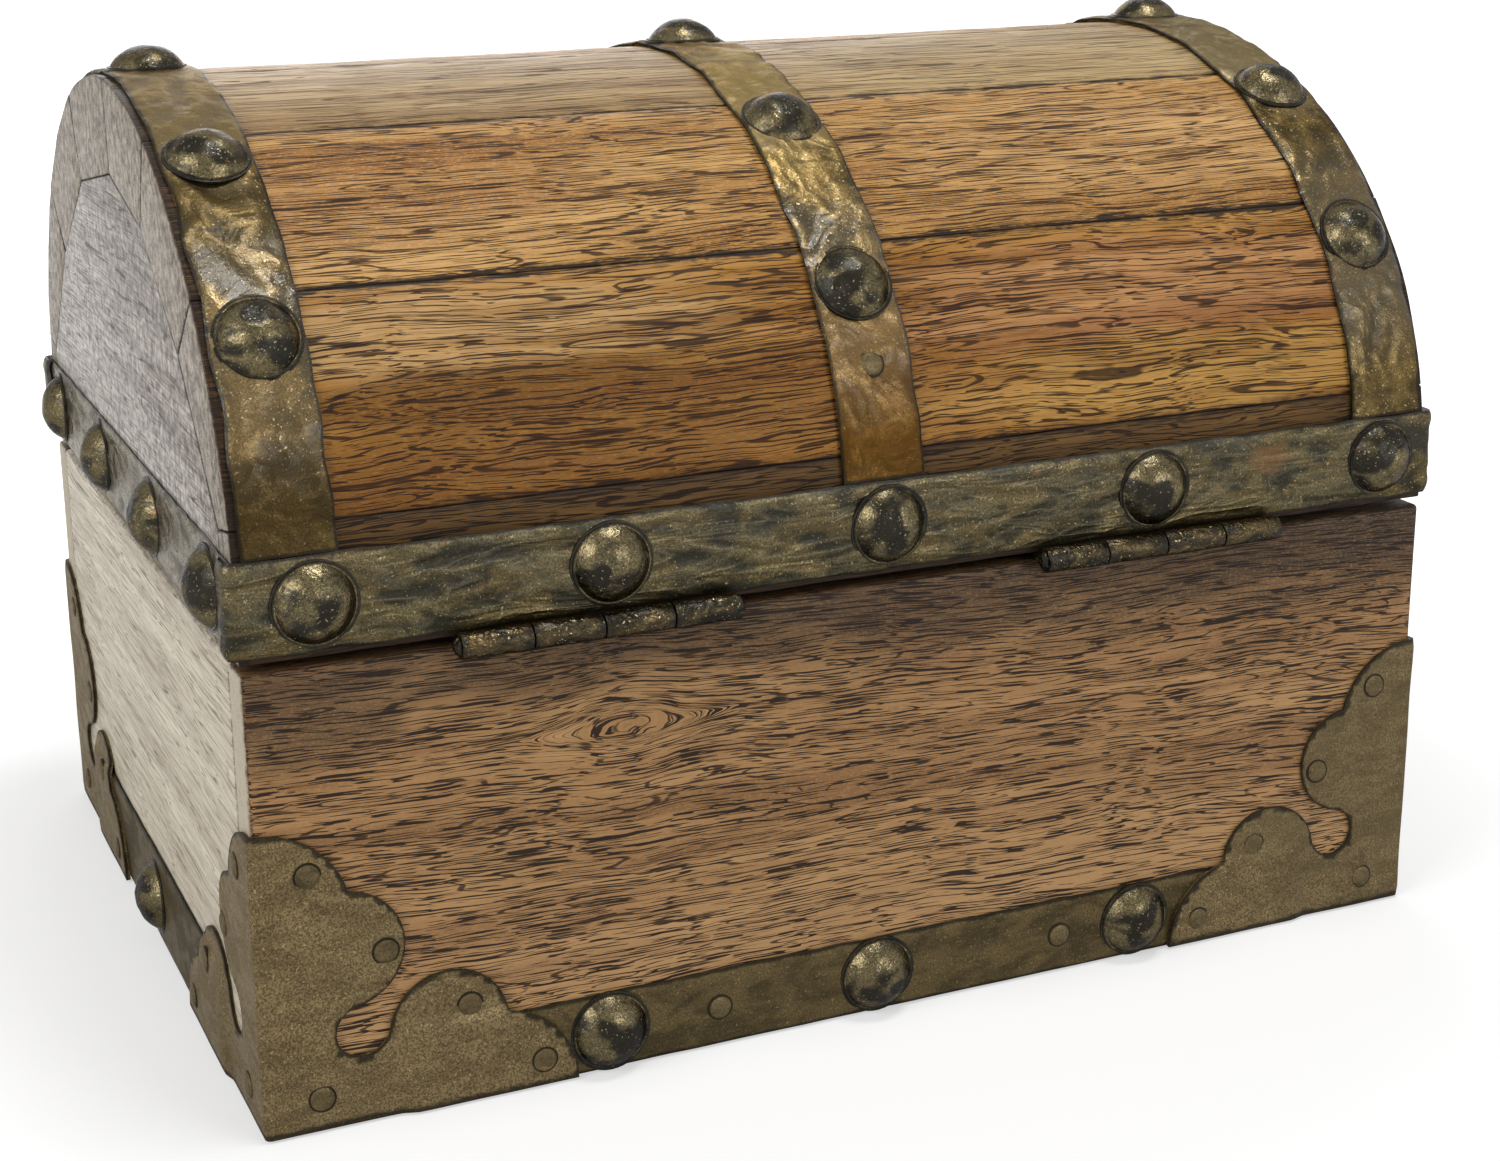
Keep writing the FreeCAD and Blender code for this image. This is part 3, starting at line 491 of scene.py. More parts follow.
seamLines = {
    "rearRail": seamLine(staveSeams[0], 0.35, 0.8), "rearMain": seamLine(staveSeams[1], 0.9, 0.9),
    "rearTop": seamLine(staveSeams[2], 0.4, 0.7), "frontTop": seamLine(staveSeams[4], 0.5, 0.75),
    "frontMain": seamLine(staveSeams[5], 0.7, 0.85),
}
longStave = {"specular": 0.15, "endShare": 0.85, "endGrainAndSheenColour": (176, 167, 153), "charred": (24, 18, 14)}
# The rails are written darker than the staves above: partly their own darker wood, partly painted shade under
# the rim band. The tint below 76 mm is a painted shadow on the strip of rail between the rim band and the
# body
railWoodAndShade = {
    **longStave, "pale": (104, 76, 36), "mid": (84, 60, 27), "deep": (60, 42, 20), "dark": (22, 13, 8),
    "lines": 0.62, "pores": 0.56, "roughness": 0.46, "shades": ((2, 76.0, 74.0, 0.8, (44, 30, 18)),),
}
lidWood = {
    "railRear": {**railWoodAndShade, "seed": 6.0, "seams": (seamLines["rearRail"],)},
    "railFront": {**railWoodAndShade, "seed": 7.0},
    "rearLower": {**longStave, "seed": 8.0, "warp": 1.3, "reach": 1.7,
                  "pale": (158, 116, 58), "mid": (138, 95, 40), "deep": (104, 65, 22), "dark": (32, 16, 7),
                  "lines": 0.74, "pores": 0.48, "roughness": 0.4, "fleck": 0.3,
                  "seams": (seamLines["rearRail"], seamLines["rearMain"]),
                  "patches": (((64.0, 65.0, 115.0), (46.0, 20.0, 6.5), 0.9, (176, 142, 95)),
                              ((52.0, 70.0, 100.0), (60.0, 20.0, 9.0), 0.75, (112, 76, 27)),
                              ((54.0, 68.0, 107.0), (50.0, 20.0, 4.5), 0.85, (98, 66, 26)),
                              ((-50.0, 66.0, 113.0), (60.0, 20.0, 8.0), 0.8, (180, 134, 90)),
                              ((-60.0, 68.0, 107.0), (40.0, 20.0, 3.5), 0.5, (120, 70, 42)),
                              ((-60.0, 71.0, 99.0), (50.0, 20.0, 7.0), 0.8, (174, 134, 70)))},
    "rearMiddle": {**longStave, "seed": 9.0, "warp": 0.8, "lean": -1.0, "reach": 1.3,
                   "pale": (182, 142, 86), "mid": (164, 124, 70), "deep": (130, 89, 42), "dark": (38, 22, 11),
                   "lines": 0.62, "pores": 0.6, "roughness": 0.42, "fleck": 0.6,
                   "seams": (seamLines["rearTop"], seamLines["rearMain"]),
                   "patches": (((66.0, 45.0, 134.0), (34.0, 16.0, 6.0), 0.5, (132, 86, 44)),
                               ((-60.0, 48.0, 134.0), (50.0, 16.0, 8.0), 0.75, (194, 156, 106)),
                               ((-50.0, 56.0, 125.0), (60.0, 16.0, 4.0), 0.5, (136, 98, 60)))},
    "rearUpper": {**longStave, "seed": 10.0, "warp": 0.5, "reach": 1.8,
                  "pale": (162, 138, 94), "mid": (150, 123, 80), "deep": (126, 98, 60), "dark": (56, 41, 26),
                  "lines": 0.58, "pores": 0.56, "roughness": 0.44, "lineDepth": 0.8, "poreDepth": 0.8,
                  "fleck": 0.3, "seams": (seamLines["rearTop"],),
                  "patches": (((-50.0, 20.0, 146.0), (60.0, 40.0, 9.0), 0.5, (172, 150, 108)),)},
    "frontUpper": {**longStave, "seed": 11.0, "warp": 0.8, "reach": 1.4,
                   "pale": (168, 138, 92), "mid": (152, 119, 72), "deep": (126, 93, 53), "dark": (46, 30, 18),
                   "lines": 0.58, "pores": 0.56, "roughness": 0.44, "fleck": 0.4,
                   "seams": (seamLines["frontTop"],)},
    "frontMiddle": {**longStave, "seed": 12.0, "reach": 1.4,
                    "pale": (172, 130, 76), "mid": (154, 109, 56), "deep": (124, 81, 36),
                    "dark": (38, 22, 11), "lines": 0.62, "pores": 0.55, "roughness": 0.42, "fleck": 0.5,
                    "seams": (seamLines["frontTop"], seamLines["frontMain"])},
    "frontLower": {**longStave, "seed": 13.0, "warp": 1.2, "reach": 1.6,
                   "pale": (160, 114, 58), "mid": (140, 95, 41), "deep": (106, 66, 23), "dark": (34, 17, 8),
                   "lines": 0.66, "pores": 0.48, "roughness": 0.4, "fleck": 0.3,
                   "seams": (seamLines["frontMain"],)},
    # The end panels are written paler and greyer than the staves: partly their own wood, partly painted
    # sheen, most on the left panel
    "panelLeft": {"seed": 14.0, "along": "y", "warp": 0.6, "fineness": 1.5, "reach": 2.2,
                  "pale": (206, 199, 187), "mid": (188, 180, 168), "deep": (150, 141, 132),
                  "dark": (58, 50, 46), "lines": 0.57, "pores": 0.5, "roughness": 0.38,
                  "poreDepth": 0.4, "lineDepth": 0.55,
                  # A painted shade darkens the left panel's top and a painted sheen lightens its lower middle
                  "patches": (((101.0, 10.0, 122.0), (40.0, 40.0, 9.0), 0.45, (150, 141, 134)),
                              ((101.0, 30.0, 92.0), (40.0, 26.0, 7.0), 0.5, (214, 208, 198)))},
    "panelRight": {"seed": 15.0, "along": "y", "warp": 0.7, "fineness": 1.4, "reach": 2.0,
                   "pale": (172, 156, 132), "mid": (158, 142, 118), "deep": (134, 117, 94),
                   "dark": (56, 46, 37), "lines": 0.5, "pores": 0.51, "roughness": 0.4,
                   "poreDepth": 0.5, "lineDepth": 0.6},
}
lidWoods = {name: woodMaterial("wood_" + name, {**plainWood, **look}) for name, look in lidWood.items()}
print("wood finishes made:", len(bodyWoods) + len(lidWoods))


# Used by every metal that doesn't say otherwise. Lacquer is its weight, and the heights between which it lies
plainMetal = {
    "grain": 1.0, "crease": 0.3, "folds": (5.5, 5.5, 3.4), "relief": 0.0, "crest": (150, 142, 112),
    "crestHighlightDepth": 0.0, "gritDepth": 0.6, "stainDepth": 0.7, "chipDepth": 0.8, "fleckDepth": 0.6, "bump": 0.6,
    "bumpDistance": 0.0003, "grime": 0.85, "grimeAndShadeColour": (20, 18, 14), "lacquer": (0.3, -60.0, 260.0),
    "gloss": 0.16, "edge": (150, 146, 138), "patches": (), "mottles": (0.36, 0.64), "grits": (0.4, 0.62),
    "roughFrom": (0.35, 0.65), "roughSpread": (0.14, -0.06), "wornRough": 0.16, "wornMetallic": 0.6,
    "lacquerFades": (16.0, 12.0), "leastLacquer": 0.1,
}


def metalMaterial(name, look):
    material, tree, shader = newMaterial(name)
    vector = inMillimetres(tree, put(tree, "TexCoord").outputs["Object"])
    aged = useGroup(tree, metalGroup, {
        "Vector": vector, "Seed": look["seed"], "Grain": look["grain"], "Crease": look["crease"],
        "Folds": look["folds"]})
    # Raised parts are painted lighter and hollows darker by the relief share: painted reflection and shade of
    # the hammered surface
    raised = minus(tree, meshMask(tree, "raised"), 0.5)
    uneven = plus(tree, aged["Mottle"], times(tree, raised, look["relief"]))
    base = mixColour(tree, ramp(tree, uneven, *look["mottles"]), colour(look["low"]), colour(look["high"]))
    # The crests of the hammered folds are painted lighter: a painted highlight
    base = mixColour(tree, times(tree, aged["Crest"], look["crestHighlightDepth"]), base, colour(look["crest"]))
    grit = ramp(tree, aged["Grit"], *look["grits"], 0.0, look["gritDepth"])
    base = mixColour(tree, grit, base, colour(look["grit"]))
    # The bright flecks are painted glints; the stains and chips are the metal's own
    for label in ("Stain", "Chip", "Fleck"):
        amount = times(tree, aged[label], look[label.lower() + "Depth"])
        base = mixColour(tree, amount, base, colour(look[label.lower()]))
    base = addPatches(tree, base, vector, look["patches"])
    grime, base = addGrimeAndShade(tree, base, vector, look)
    tree.links.new(base, shader.inputs["Base Color"])

    worn = calc(tree, "MAXIMUM", aged["Stain"], grime)
    metallic = ramp(tree, worn, 0.0, 1.0, look["metallic"], look["metallic"] * look["wornMetallic"])
    tree.links.new(metallic, shader.inputs["Metallic"])
    roughest, smoothest = (look["roughness"] + more for more in look["roughSpread"])
    rough = ramp(tree, uneven, *look["roughFrom"], roughest, smoothest)
    tree.links.new(plus(tree, rough, times(tree, worn, look["wornRough"])), shader.inputs["Roughness"])
    inputs = {"Height": aged["Height"], "Strength": look["bump"], "Distance": look["bumpDistance"]}
    bump = put(tree, "Bump", inputs).outputs[0]
    for socket in ("Normal", "Coat Normal"):
        tree.links.new(bump, shader.inputs[socket])

    lacquer, low, high = look["lacquer"]
    lowFade, highFade = look["lacquerFades"]
    height = parts(tree, vector)[2]
    over = ramp(tree, height, low - lowFade, low, look["leastLacquer"], 1.0)
    under = ramp(tree, height, high, high + highFade, 1.0, look["leastLacquer"])
    tree.links.new(times(tree, times(tree, over, under), lacquer), shader.inputs["Coat Weight"])
    shader.inputs["Coat Roughness"].default_value = look["gloss"]
    shader.inputs["Specular Tint"].default_value = colour(look["edge"])
    return material


bare = (0.05, -60.0, 260.0)
metals = {
    "band": {"seed": 1.0, "metallic": 0.85, "roughness": 0.34, "bump": 0.8,
             "low": (66, 57, 35), "high": (122, 101, 60), "grit": (44, 37, 23), "stain": (36, 33, 25),
             "chip": (140, 98, 60), "fleck": (226, 206, 160), "stainDepth": 0.45, "chipDepth": 0.2,
             "relief": 0.35, "crease": 0.7, "folds": (8.0, 8.0, 8.0), "edge": (158, 150, 132),
             "lacquer": (0.65, 110.0, 122.0), "gloss": 0.1,
             "patches": (((94.0, 25.0, 144.0), (14.0, 40.0, 9.0), 0.7, (106, 95, 73)),
                         # Darkens the left band's upper slope, where the lamp above puts a highlight: painted
                         # shade
                         ((94.0, 52.0, 131.0), (14.0, 18.0, 8.0), 0.65, (58, 49, 31)),
                         ((94.0, 72.0, 104.0), (14.0, 20.0, 12.0), 0.4, (84, 66, 34)),
                         ((0.0, 72.0, 105.0), (14.0, 20.0, 14.0), 0.5, (112, 82, 34)),
                         ((-94.0, 25.0, 144.0), (14.0, 40.0, 9.0), 0.75, (126, 114, 89)),
                         ((0.0, 30.0, 142.0), (14.0, 40.0, 9.0), 0.75, (136, 118, 82)),
                         ((94.0, 75.0, 88.0), (12.0, 20.0, 16.0), 0.8, (44, 35, 17)),
                         ((0.0, 75.0, 88.0), (20.0, 20.0, 18.0), 0.85, (72, 48, 10)),
                         ((-94.0, 70.0, 110.0), (12.0, 40.0, 30.0), 0.6, (68, 58, 37)))},
    "rim": {"seed": 2.0, "metallic": 0.8, "roughness": 0.38, "bump": 0.8,
            "low": (50, 48, 37), "high": (92, 80, 52), "grit": (32, 30, 22), "stain": (30, 32, 28),
            "chip": (132, 92, 58), "fleck": (176, 160, 118), "crest": (112, 104, 80), "crestHighlightDepth": 0.4,
            "fleckDepth": 0.45, "stainDepth": 0.28, "chipDepth": 0.3, "relief": 0.4, "crease": 0.8,
            "folds": (15.0, 15.0, 3.6), "lacquer": (0.25, 86.0, 100.0), "gloss": 0.12,
            "patches": (((-70.0, 76.0, 84.0), (4.5, 4.0, 3.0), 0.5, (112, 80, 46)),)},
    # The end rim bands are written paler and greyer than the side rim bands: their paler, greyer colours are
    # painted sheen on the same metal
    "rimEnd": {"seed": 3.0, "metallic": 0.8, "roughness": 0.26, "bump": 0.9,
               "low": (78, 74, 62), "high": (132, 125, 108), "grit": (44, 41, 34), "stain": (32, 30, 26),
               "chip": (132, 100, 66), "fleck": (214, 206, 188), "crest": (186, 180, 164), "crestHighlightDepth": 0.35,
               "stainDepth": 0.6, "chipDepth": 0.3, "relief": 0.5, "crease": 1.0, "folds": (10.0, 10.0, 4.0),
               "lacquer": (0.25, 60.0, 100.0), "edge": (168, 163, 152)},
    "base": {"seed": 4.0, "metallic": 0.6, "roughness": 0.44, "bump": 0.45,
             "low": (74, 64, 43), "high": (100, 86, 58), "grit": (46, 40, 27), "stain": (48, 42, 30),
             "chip": (132, 102, 66), "fleck": (164, 142, 98), "stainDepth": 0.4, "chipDepth": 0.2,
             "fleckDepth": 0.4, "relief": 0.3, "lacquer": bare},
    "plate": {"seed": 5.0, "metallic": 0.5, "roughness": 0.5, "bump": 0.45,
              "low": (112, 96, 68), "high": (130, 113, 80), "grit": (64, 55, 38), "stain": (88, 77, 54),
              "chip": (146, 116, 78), "fleck": (184, 164, 124), "stainDepth": 0.3, "chipDepth": 0.1,
              "fleckDepth": 0.45, "gritDepth": 0.8, "grain": 1.1, "crease": 0.05, "lacquer": bare,
              "patches": (((-90.0, 75.0, 30.0), (30.0, 20.0, 30.0), 0.4, (86, 75, 54)),)},
    "stud": {"seed": 6.0, "metallic": 0.92, "roughness": 0.26, "bump": 0.8,
             "low": (38, 35, 25), "high": (106, 95, 67), "grit": (28, 26, 19), "stain": (24, 24, 20),
             "chip": (136, 90, 54), "fleck": (200, 188, 156), "stainDepth": 0.55, "chipDepth": 0.5,
             "fleckDepth": 0.4, "gritDepth": 0.65, "crease": 0.2, "relief": 0.6, "folds": (3.4, 3.4, 3.4),
             "lacquer": (0.26, -60.0, 260.0), "gloss": 0.1},
    "nail": {"seed": 7.0, "metallic": 0.5, "roughness": 0.48, "bump": 0.4,
             "low": (92, 80, 56), "high": (108, 94, 66), "grit": (58, 50, 36), "stain": (60, 52, 37),
             "chip": (130, 104, 68), "fleck": (156, 140, 100), "fleckDepth": 0.3, "crease": 0.15,
             "lacquer": bare},
    "hinge": {"seed": 8.0, "metallic": 0.9, "roughness": 0.26, "bump": 0.9,
              "low": (28, 26, 18), "high": (88, 74, 46), "grit": (20, 18, 13), "stain": (18, 17, 13),
              "chip": (130, 92, 54), "fleck": (206, 188, 142), "fleckDepth": 0.5, "crease": 0.6,
              "folds": (3.0, 3.0, 3.0), "lacquer": (0.25, -60.0, 260.0), "gloss": 0.12},
    "hasp": {"seed": 9.0, "metallic": 0.85, "roughness": 0.34, "bump": 0.8,
             "low": (62, 54, 36), "high": (112, 96, 62), "grit": (42, 36, 25), "stain": (32, 29, 22),
             "chip": (140, 100, 60), "fleck": (196, 176, 128), "fleckDepth": 0.45, "crease": 0.6,
             "lacquer": (0.6, -60.0, 260.0)},
}
metalFinish = {name: metalMaterial("metal_" + name, {**plainMetal, **look}) for name, look in metals.items()}
print("metal finishes made:", len(metalFinish))


def smoothStep(value, low, high):
    share = min(1.0, max(0.0, (value - low) / (high - low)))
    return share * share * (3 - 2 * share)


def everything(bm):
    return bm.verts[:] + bm.edges[:] + bm.faces[:]


def onlyKind(items, kind):
    return [item for item in items if isinstance(item, kind)]


def cutAcross(bm, axis, distance):
    # Cuts all faces by the plane at one distance along an axis
    normal = Vector([float(index == axis) for index in range(3)])
    bmesh.ops.bisect_plane(bm, geom=everything(bm), dist=0.0001, plane_co=normal * distance, plane_no=normal)


def cutGrid(bm, axis, low, high, step):
    count = max(1, round((high - low) / step))
    for index in range(1, count):
        cutAcross(bm, axis, low + (high - low) * index / count)


def sharpEdges(bm, degrees):
    return [edge for edge in bm.edges if len(edge.link_faces) == 2
            and edge.calc_face_angle(0.0) > math.radians(degrees) and edge.calc_length() > 0.0]


def borderEdges(bm):
    return [edge for edge in bm.edges if edge.is_boundary]


def soften(bm, edges, offset, segments):
    bmesh.ops.bevel(bm, geom=edges, offset=offset, offset_type="OFFSET", segments=segments, profile=0.5,
                    affect="EDGES", clamp_overlap=True, material=-1)


def samplesAlong(edges, spacing=0.5):
    samples = []
    for edge in edges:
        first, last = edge.verts[0].co, edge.verts[1].co
        count = max(1, math.ceil((last - first).length / spacing))
        samples += [first.lerp(last, index / count) for index in range(count + 1)]
    return samples


def searchTree(points):
    tree = kdtree.KDTree(len(points))
    for index, point in enumerate(points):
        tree.insert(point, index)
    tree.balance()
    return tree


def markEdges(bm, samples, reach):
    # Writes how near each vertex is to the piece's edges, for the finishes to read
    layer = bm.verts.layers.float.new("edgeMask")
    tree = searchTree(samples)
    for vert in bm.verts:
        vert[layer] = math.exp(-tree.find(vert.co)[2] / reach)


def markRaised(bm, places, lifts):
    # Writes which parts of a hammered sheet stand high, for the finishes to read
    layer = bm.verts.layers.float.new("raised")
    tree = searchTree(places)
    for vert in bm.verts:
        vert[layer] = lifts[tree.find(vert.co)[1]]


def roughen(bm, depth, reach, seed):
    # Moves the surface in and out in soft waves
    bm.normal_update()
    shift = Vector((seed * 17.3, seed * 5.1, seed * 9.7))
    moves = [vert.normal * depth * noise.noise(vert.co / reach + shift) for vert in bm.verts]
    for vert, move in zip(bm.verts, moves):
        vert.co += move


def pieceName(node):
    # rear_board becomes rearBoard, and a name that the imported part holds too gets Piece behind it
    first, *others = node.removeprefix("lid_").split("_")
    label = first + "".join(word.capitalize() for word in others)
    return label + "Piece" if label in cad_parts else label


def newObject(bm, name, finish):
    mesh = bpy.data.meshes.new(name)
    bm.to_mesh(mesh)
    bm.free()
    mesh.materials.append(finish)
    made = bpy.data.objects.new(name, mesh)
    bpy.context.scene.collection.objects.link(made)
    return made


def finishPiece(bm, node, body, finish, sharpDegrees=50):
    bmesh.ops.scale(bm, vec=(millimetre,) * 3, verts=bm.verts)
    piece = newObject(bm, pieceName(node), finish)
    piece.data.shade_smooth()
    piece.data.set_sharp_from_angle(angle=math.radians(sharpDegrees))
    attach(piece, body)
    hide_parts(node)


boardLook = {"round": 0.75, "segments": 3, "cell": 5.0, "wobble": 0.14, "wobbleLength": 26.0,
             "edgeReach": 0.5}


def makeBoard(node, finish, seed, look):
    low, high = ([value / millimetre for value in corner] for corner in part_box(node))
    bm = bmesh.new()
    bmesh.ops.create_cube(bm, size=1.0)
    bmesh.ops.scale(bm, vec=[top - bottom for bottom, top in zip(low, high)], verts=bm.verts)
    bmesh.ops.translate(bm, vec=[(top + bottom) / 2 for bottom, top in zip(low, high)], verts=bm.verts)
    samples = samplesAlong(bm.edges)
    soften(bm, bm.edges[:], look["round"], look["segments"])
    for axis in range(3):
        if high[axis] - low[axis] > 3 * look["cell"]:
            cutGrid(bm, axis, low[axis] + look["round"], high[axis] - look["round"], look["cell"])
    markEdges(bm, samples, look["edgeReach"])
    roughen(bm, look["wobble"], look["wobbleLength"], seed)
    finishPiece(bm, node, "chest_body", finish)


def makeBodyBoards():
    boards = {"rear": "rear_board", "front": "front_board", "left": "left_end_board",
              "right": "right_end_board", "bottom": "bottom_board"}
    for seed, (wood, node) in enumerate(boards.items(), 1):
        makeBoard(node, bodyWoods[wood], seed, boardLook)


makeBodyBoards()
print("body boards made")


staveLook = {"arcSteps": 14, "railSteps": 4, "round": 0.32, "segments": 2, "cell": 3.5, "wobble": 0.16,
             "wobbleLength": 9.0, "edgeReach": 0.5}
staves = {"rearLower": "rear_lower", "rearMiddle": "rear_middle", "rearUpper": "rear_upper",
          "frontUpper": "front_upper", "frontMiddle": "front_middle", "frontLower": "front_lower"}


def seamInner(index):
    # Inner end of the joint between two staves
    outer, normal = lidPoint(staveSeams[index]), lidNormal(staveSeams[index])
    drop = chest["staveThickness"]
    if index in (0, len(staveSeams) - 1):
        drop = (abs(outer.y) - (chest["halfDepth"] - chest["boardThickness"])) / abs(normal.y)
    return outer - normal * drop


def lidArc(bm, first, last, steps):
    # One vertex turned about the lid's axis leaves the arc, which is then flattened to the lid's ellipse
    turn, radius, height = math.radians(first), chest["halfDepth"], chest["springHeight"]
    start = bm.verts.new((0, radius * math.cos(turn), height + radius * math.sin(turn)))
    spun = bmesh.ops.spin(bm, geom=[start], cent=(0, 0, height), axis=(1, 0, 0), dvec=(0, 0, 0),
                          angle=math.radians(last - first), steps=steps, use_merge=False)
    end = onlyKind(spun["geom_last"], bmesh.types.BMVert)[0]
    middle = Matrix.Translation((0, 0, -height))
    bmesh.ops.scale(bm, vec=(1, 1, chest["lidRise"] / radius), space=middle, verts=bm.verts)
    return start, end


def closeAndExtrude(bm, first, last, points, low, high):
    # Closes an outline through more points and draws it out along X
    chain = [last] + [bm.verts.new(point) for point in points] + [first]
    for one, other in zip(chain, chain[1:]):
        bm.edges.new((one, other))
    bmesh.ops.remove_doubles(bm, verts=bm.verts, dist=0.001)
    bmesh.ops.contextual_create(bm, geom=bm.edges[:])
    bmesh.ops.translate(bm, vec=(low, 0, 0), verts=bm.verts)
    pushed = bmesh.ops.extrude_face_region(bm, geom=bm.faces[:])["geom"]
    bmesh.ops.translate(bm, vec=(high - low, 0, 0), verts=onlyKind(pushed, bmesh.types.BMVert))
    bmesh.ops.recalc_face_normals(bm, faces=bm.faces)


def finishLidPiece(bm, node, ends, finish, seed, look, roundDegrees=25):
    edges = sharpEdges(bm, roundDegrees)
    samples = samplesAlong(edges, spacing=0.4)
    soften(bm, edges, look["round"], look["segments"])
    if ends[1] - ends[0] > 4 * look["cell"]:
        cutGrid(bm, 0, ends[0] + 1.0, ends[1] - 1.0, look["cell"])
    markEdges(bm, samples, look["edgeReach"])
    roughen(bm, look["wobble"], look["wobbleLength"], seed)
    finishPiece(bm, node, "lid", finish)


def makeLidWood(look):
    half, thick, bottom = chest["halfLength"], chest["boardThickness"], chest["lidBottom"]
    innerY = chest["halfDepth"] - thick
    seams = staveSeams
    for index, (name, node) in enumerate(staves.items()):
        bm = bmesh.new()
        first, last = lidArc(bm, seams[index], seams[index + 1], look["arcSteps"])
        closeAndExtrude(bm, first, last, [seamInner(index + 1), seamInner(index)], -half, half)
        finishLidPiece(bm, "lid_stave_" + node, (-half, half), lidWoods[name], 20 + index, look)
    for side, name, node in ((1, "railRear", "lid_rail_rear"), (-1, "railFront", "lid_rail_front")):
        start, index = (0.0, 0) if side > 0 else (180.0, len(seams) - 1)
        bm = bmesh.new()
        first, last = lidArc(bm, start, seams[index], look["railSteps"])
        inner = [seamInner(index), Vector((0, side * innerY, bottom)),
                 Vector((0, side * chest["halfDepth"], bottom))]
        closeAndExtrude(bm, first, last, inner, -half, half)
        finishLidPiece(bm, node, (-half, half), lidWoods[name], 30 + side, look)
    for name, node, ends, seed in (("panelLeft", "lid_end_panel_left", (half - thick, half), 40),
                                   ("panelRight", "lid_end_panel_right", (-half, thick - half), 41)):
        bm = bmesh.new()
        first, last = (bm.verts.new((0, side * innerY, bottom)) for side in (1, -1))
        bm.edges.new((first, last))
        closeAndExtrude(bm, first, last, [seamInner(index) for index in reversed(range(len(seams)))], *ends)
        finishLidPiece(bm, node, ends, lidWoods[name], seed, look, roundDegrees=60)


makeLidWood(staveLook)
print("lid boards made")


def makeSheet(bm, steps, place, thickness):
    # A flat grid laid on a surface by place(along, across), which gives a point, an outward normal and a lift
    bmesh.ops.create_grid(bm, x_segments=steps[0], y_segments=steps[1], size=0.5)
    places, lifts = [], []
    for vert in bm.verts:
        point, normal, lift, raised = place(vert.co.x + 0.5, vert.co.y + 0.5)
        vert.co = point + normal * lift
        places.append(vert.co.copy())
        lifts.append(raised)
    bmesh.ops.recalc_face_normals(bm, faces=bm.faces)
    point, normal = place(0.5, 0.5)[:2]
    middle = min(bm.faces, key=lambda face: (face.calc_center_median() - point).length)
    if middle.normal.dot(normal) < 0:
        bmesh.ops.reverse_faces(bm, faces=bm.faces)
    thicken(bm, thickness, places, lifts)


def thicken(bm, thickness, places, lifts, maskReach=0.4):
    # Gives a sheet its thickness inwards, and marks its edges and its raised parts
    bm.normal_update()
    samples = samplesAlong(borderEdges(bm))
    bmesh.ops.solidify(bm, geom=bm.faces[:], thickness=thickness)
    bmesh.ops.recalc_face_normals(bm, faces=bm.faces)
    markRaised(bm, places, lifts)
    markEdges(bm, samples, maskReach)


# Detail says how many times finer than a band's own wave a form is
hammerLook = {"shift": (3.7, 9.1, 1.3), "sway": 0.5, "swayDetail": 0.8, "ridges": 3.2, "smallDetail": 2.6,
              "scoopShare": 0.75, "smallShare": 0.45, "lowered": 0.1}


def hammer(point, look, seed):
    # Height of hammered, wavy metal at a point, from -1 to 1; scoops leave ridges between them
    shift = Vector(hammerLook["shift"]) * seed
    place = Vector([value / wave for value, wave in zip(point, look["wave"])])
    swaying = place * hammerLook["swayDetail"]
    place += hammerLook["sway"] * Vector((noise.noise(swaying + shift), noise.noise(swaying - shift), 0.0))
    scoop = 1.0 - hammerLook["ridges"] * abs(noise.noise(place + shift))
    small = noise.noise(place * hammerLook["smallDetail"] + shift * 2)
    height = hammerLook["scoopShare"] * scoop + hammerLook["smallShare"] * small - hammerLook["lowered"]
    return max(-1.0, min(1.0, height))


# Where the roll beside a band's long edge lies, and how wide it is
rollPlace, rollWidth = 1.6, 0.9


def bandLift(point, across, width, look, seed):
    # How far a band's surface stands in or out, with its long edges dropped and a roll beside them
    height = hammer(point, look, seed)
    near = min(across, 1 - across) * width
    drop = look["edgeDrop"] * math.exp(-near / look["edgeReach"])
    roll = look["roll"] * math.exp(-((near - rollPlace) / rollWidth) ** 2)
    return look["depth"] * (height - 1) / 2 - drop + roll, (height + 1) / 2


def edgeWander(distance, seed, row, look):
    # How far a band's long edge strays from its line
    return look["edgeWander"] * noise.noise(Vector((distance / 7, seed, row)))


rimLook = {"wave": (10.0, 10.0, 4.2), "depth": 0.42, "edgeDrop": 0.35, "edgeReach": 0.5, "roll": 0.12,
           "cell": 0.7, "return": 4.0, "endDrop": 0.6, "endTaper": 1.5, "cornerRound": 1.8, "edgeWander": 0.2}


def rimSidePlace(side, look, seed):
    # A band along one side of the rim, folded round both corners
    thick, corner = chest["rimThickness"], look["cornerRound"]
    outerX, outerY = chest["halfLength"] + 2 * thick, chest["halfDepth"] + thick
    reach = outerX + look["return"] + thick
    turn = corner * math.pi / 2

    def place(along, across):
        distance = (along * 2 - 1) * reach
        wander = edgeWander(distance, seed, 5.0, look) * abs(across * 2 - 1)
        height = chest["rimLow"] + rimWidth * across + wander
        end = 1 if distance > 0 else -1
        beyond = abs(distance) - (outerX - corner)
        if beyond <= 0:
            point, normal = Vector((distance, outerY, height)), Vector((0, 1, 0))
        elif beyond < turn:
            angle = beyond / corner
            normal = Vector((end * math.sin(angle), math.cos(angle), 0))
            point = Vector((end * (outerX - corner), outerY - corner, height)) + normal * corner
        else:
            normal = Vector((end, 0, 0))
            point = Vector((end * outerX, outerY - corner - (beyond - turn), height))
        lift, raised = bandLift(Vector((distance, 0, height)), across, rimWidth, look, seed)
        lift -= look["endDrop"] * smoothStep(beyond - turn, look["return"] - look["endTaper"], look["return"])
        point.y, normal.y = point.y * side, normal.y * side
        return point, normal, lift, raised
    return place


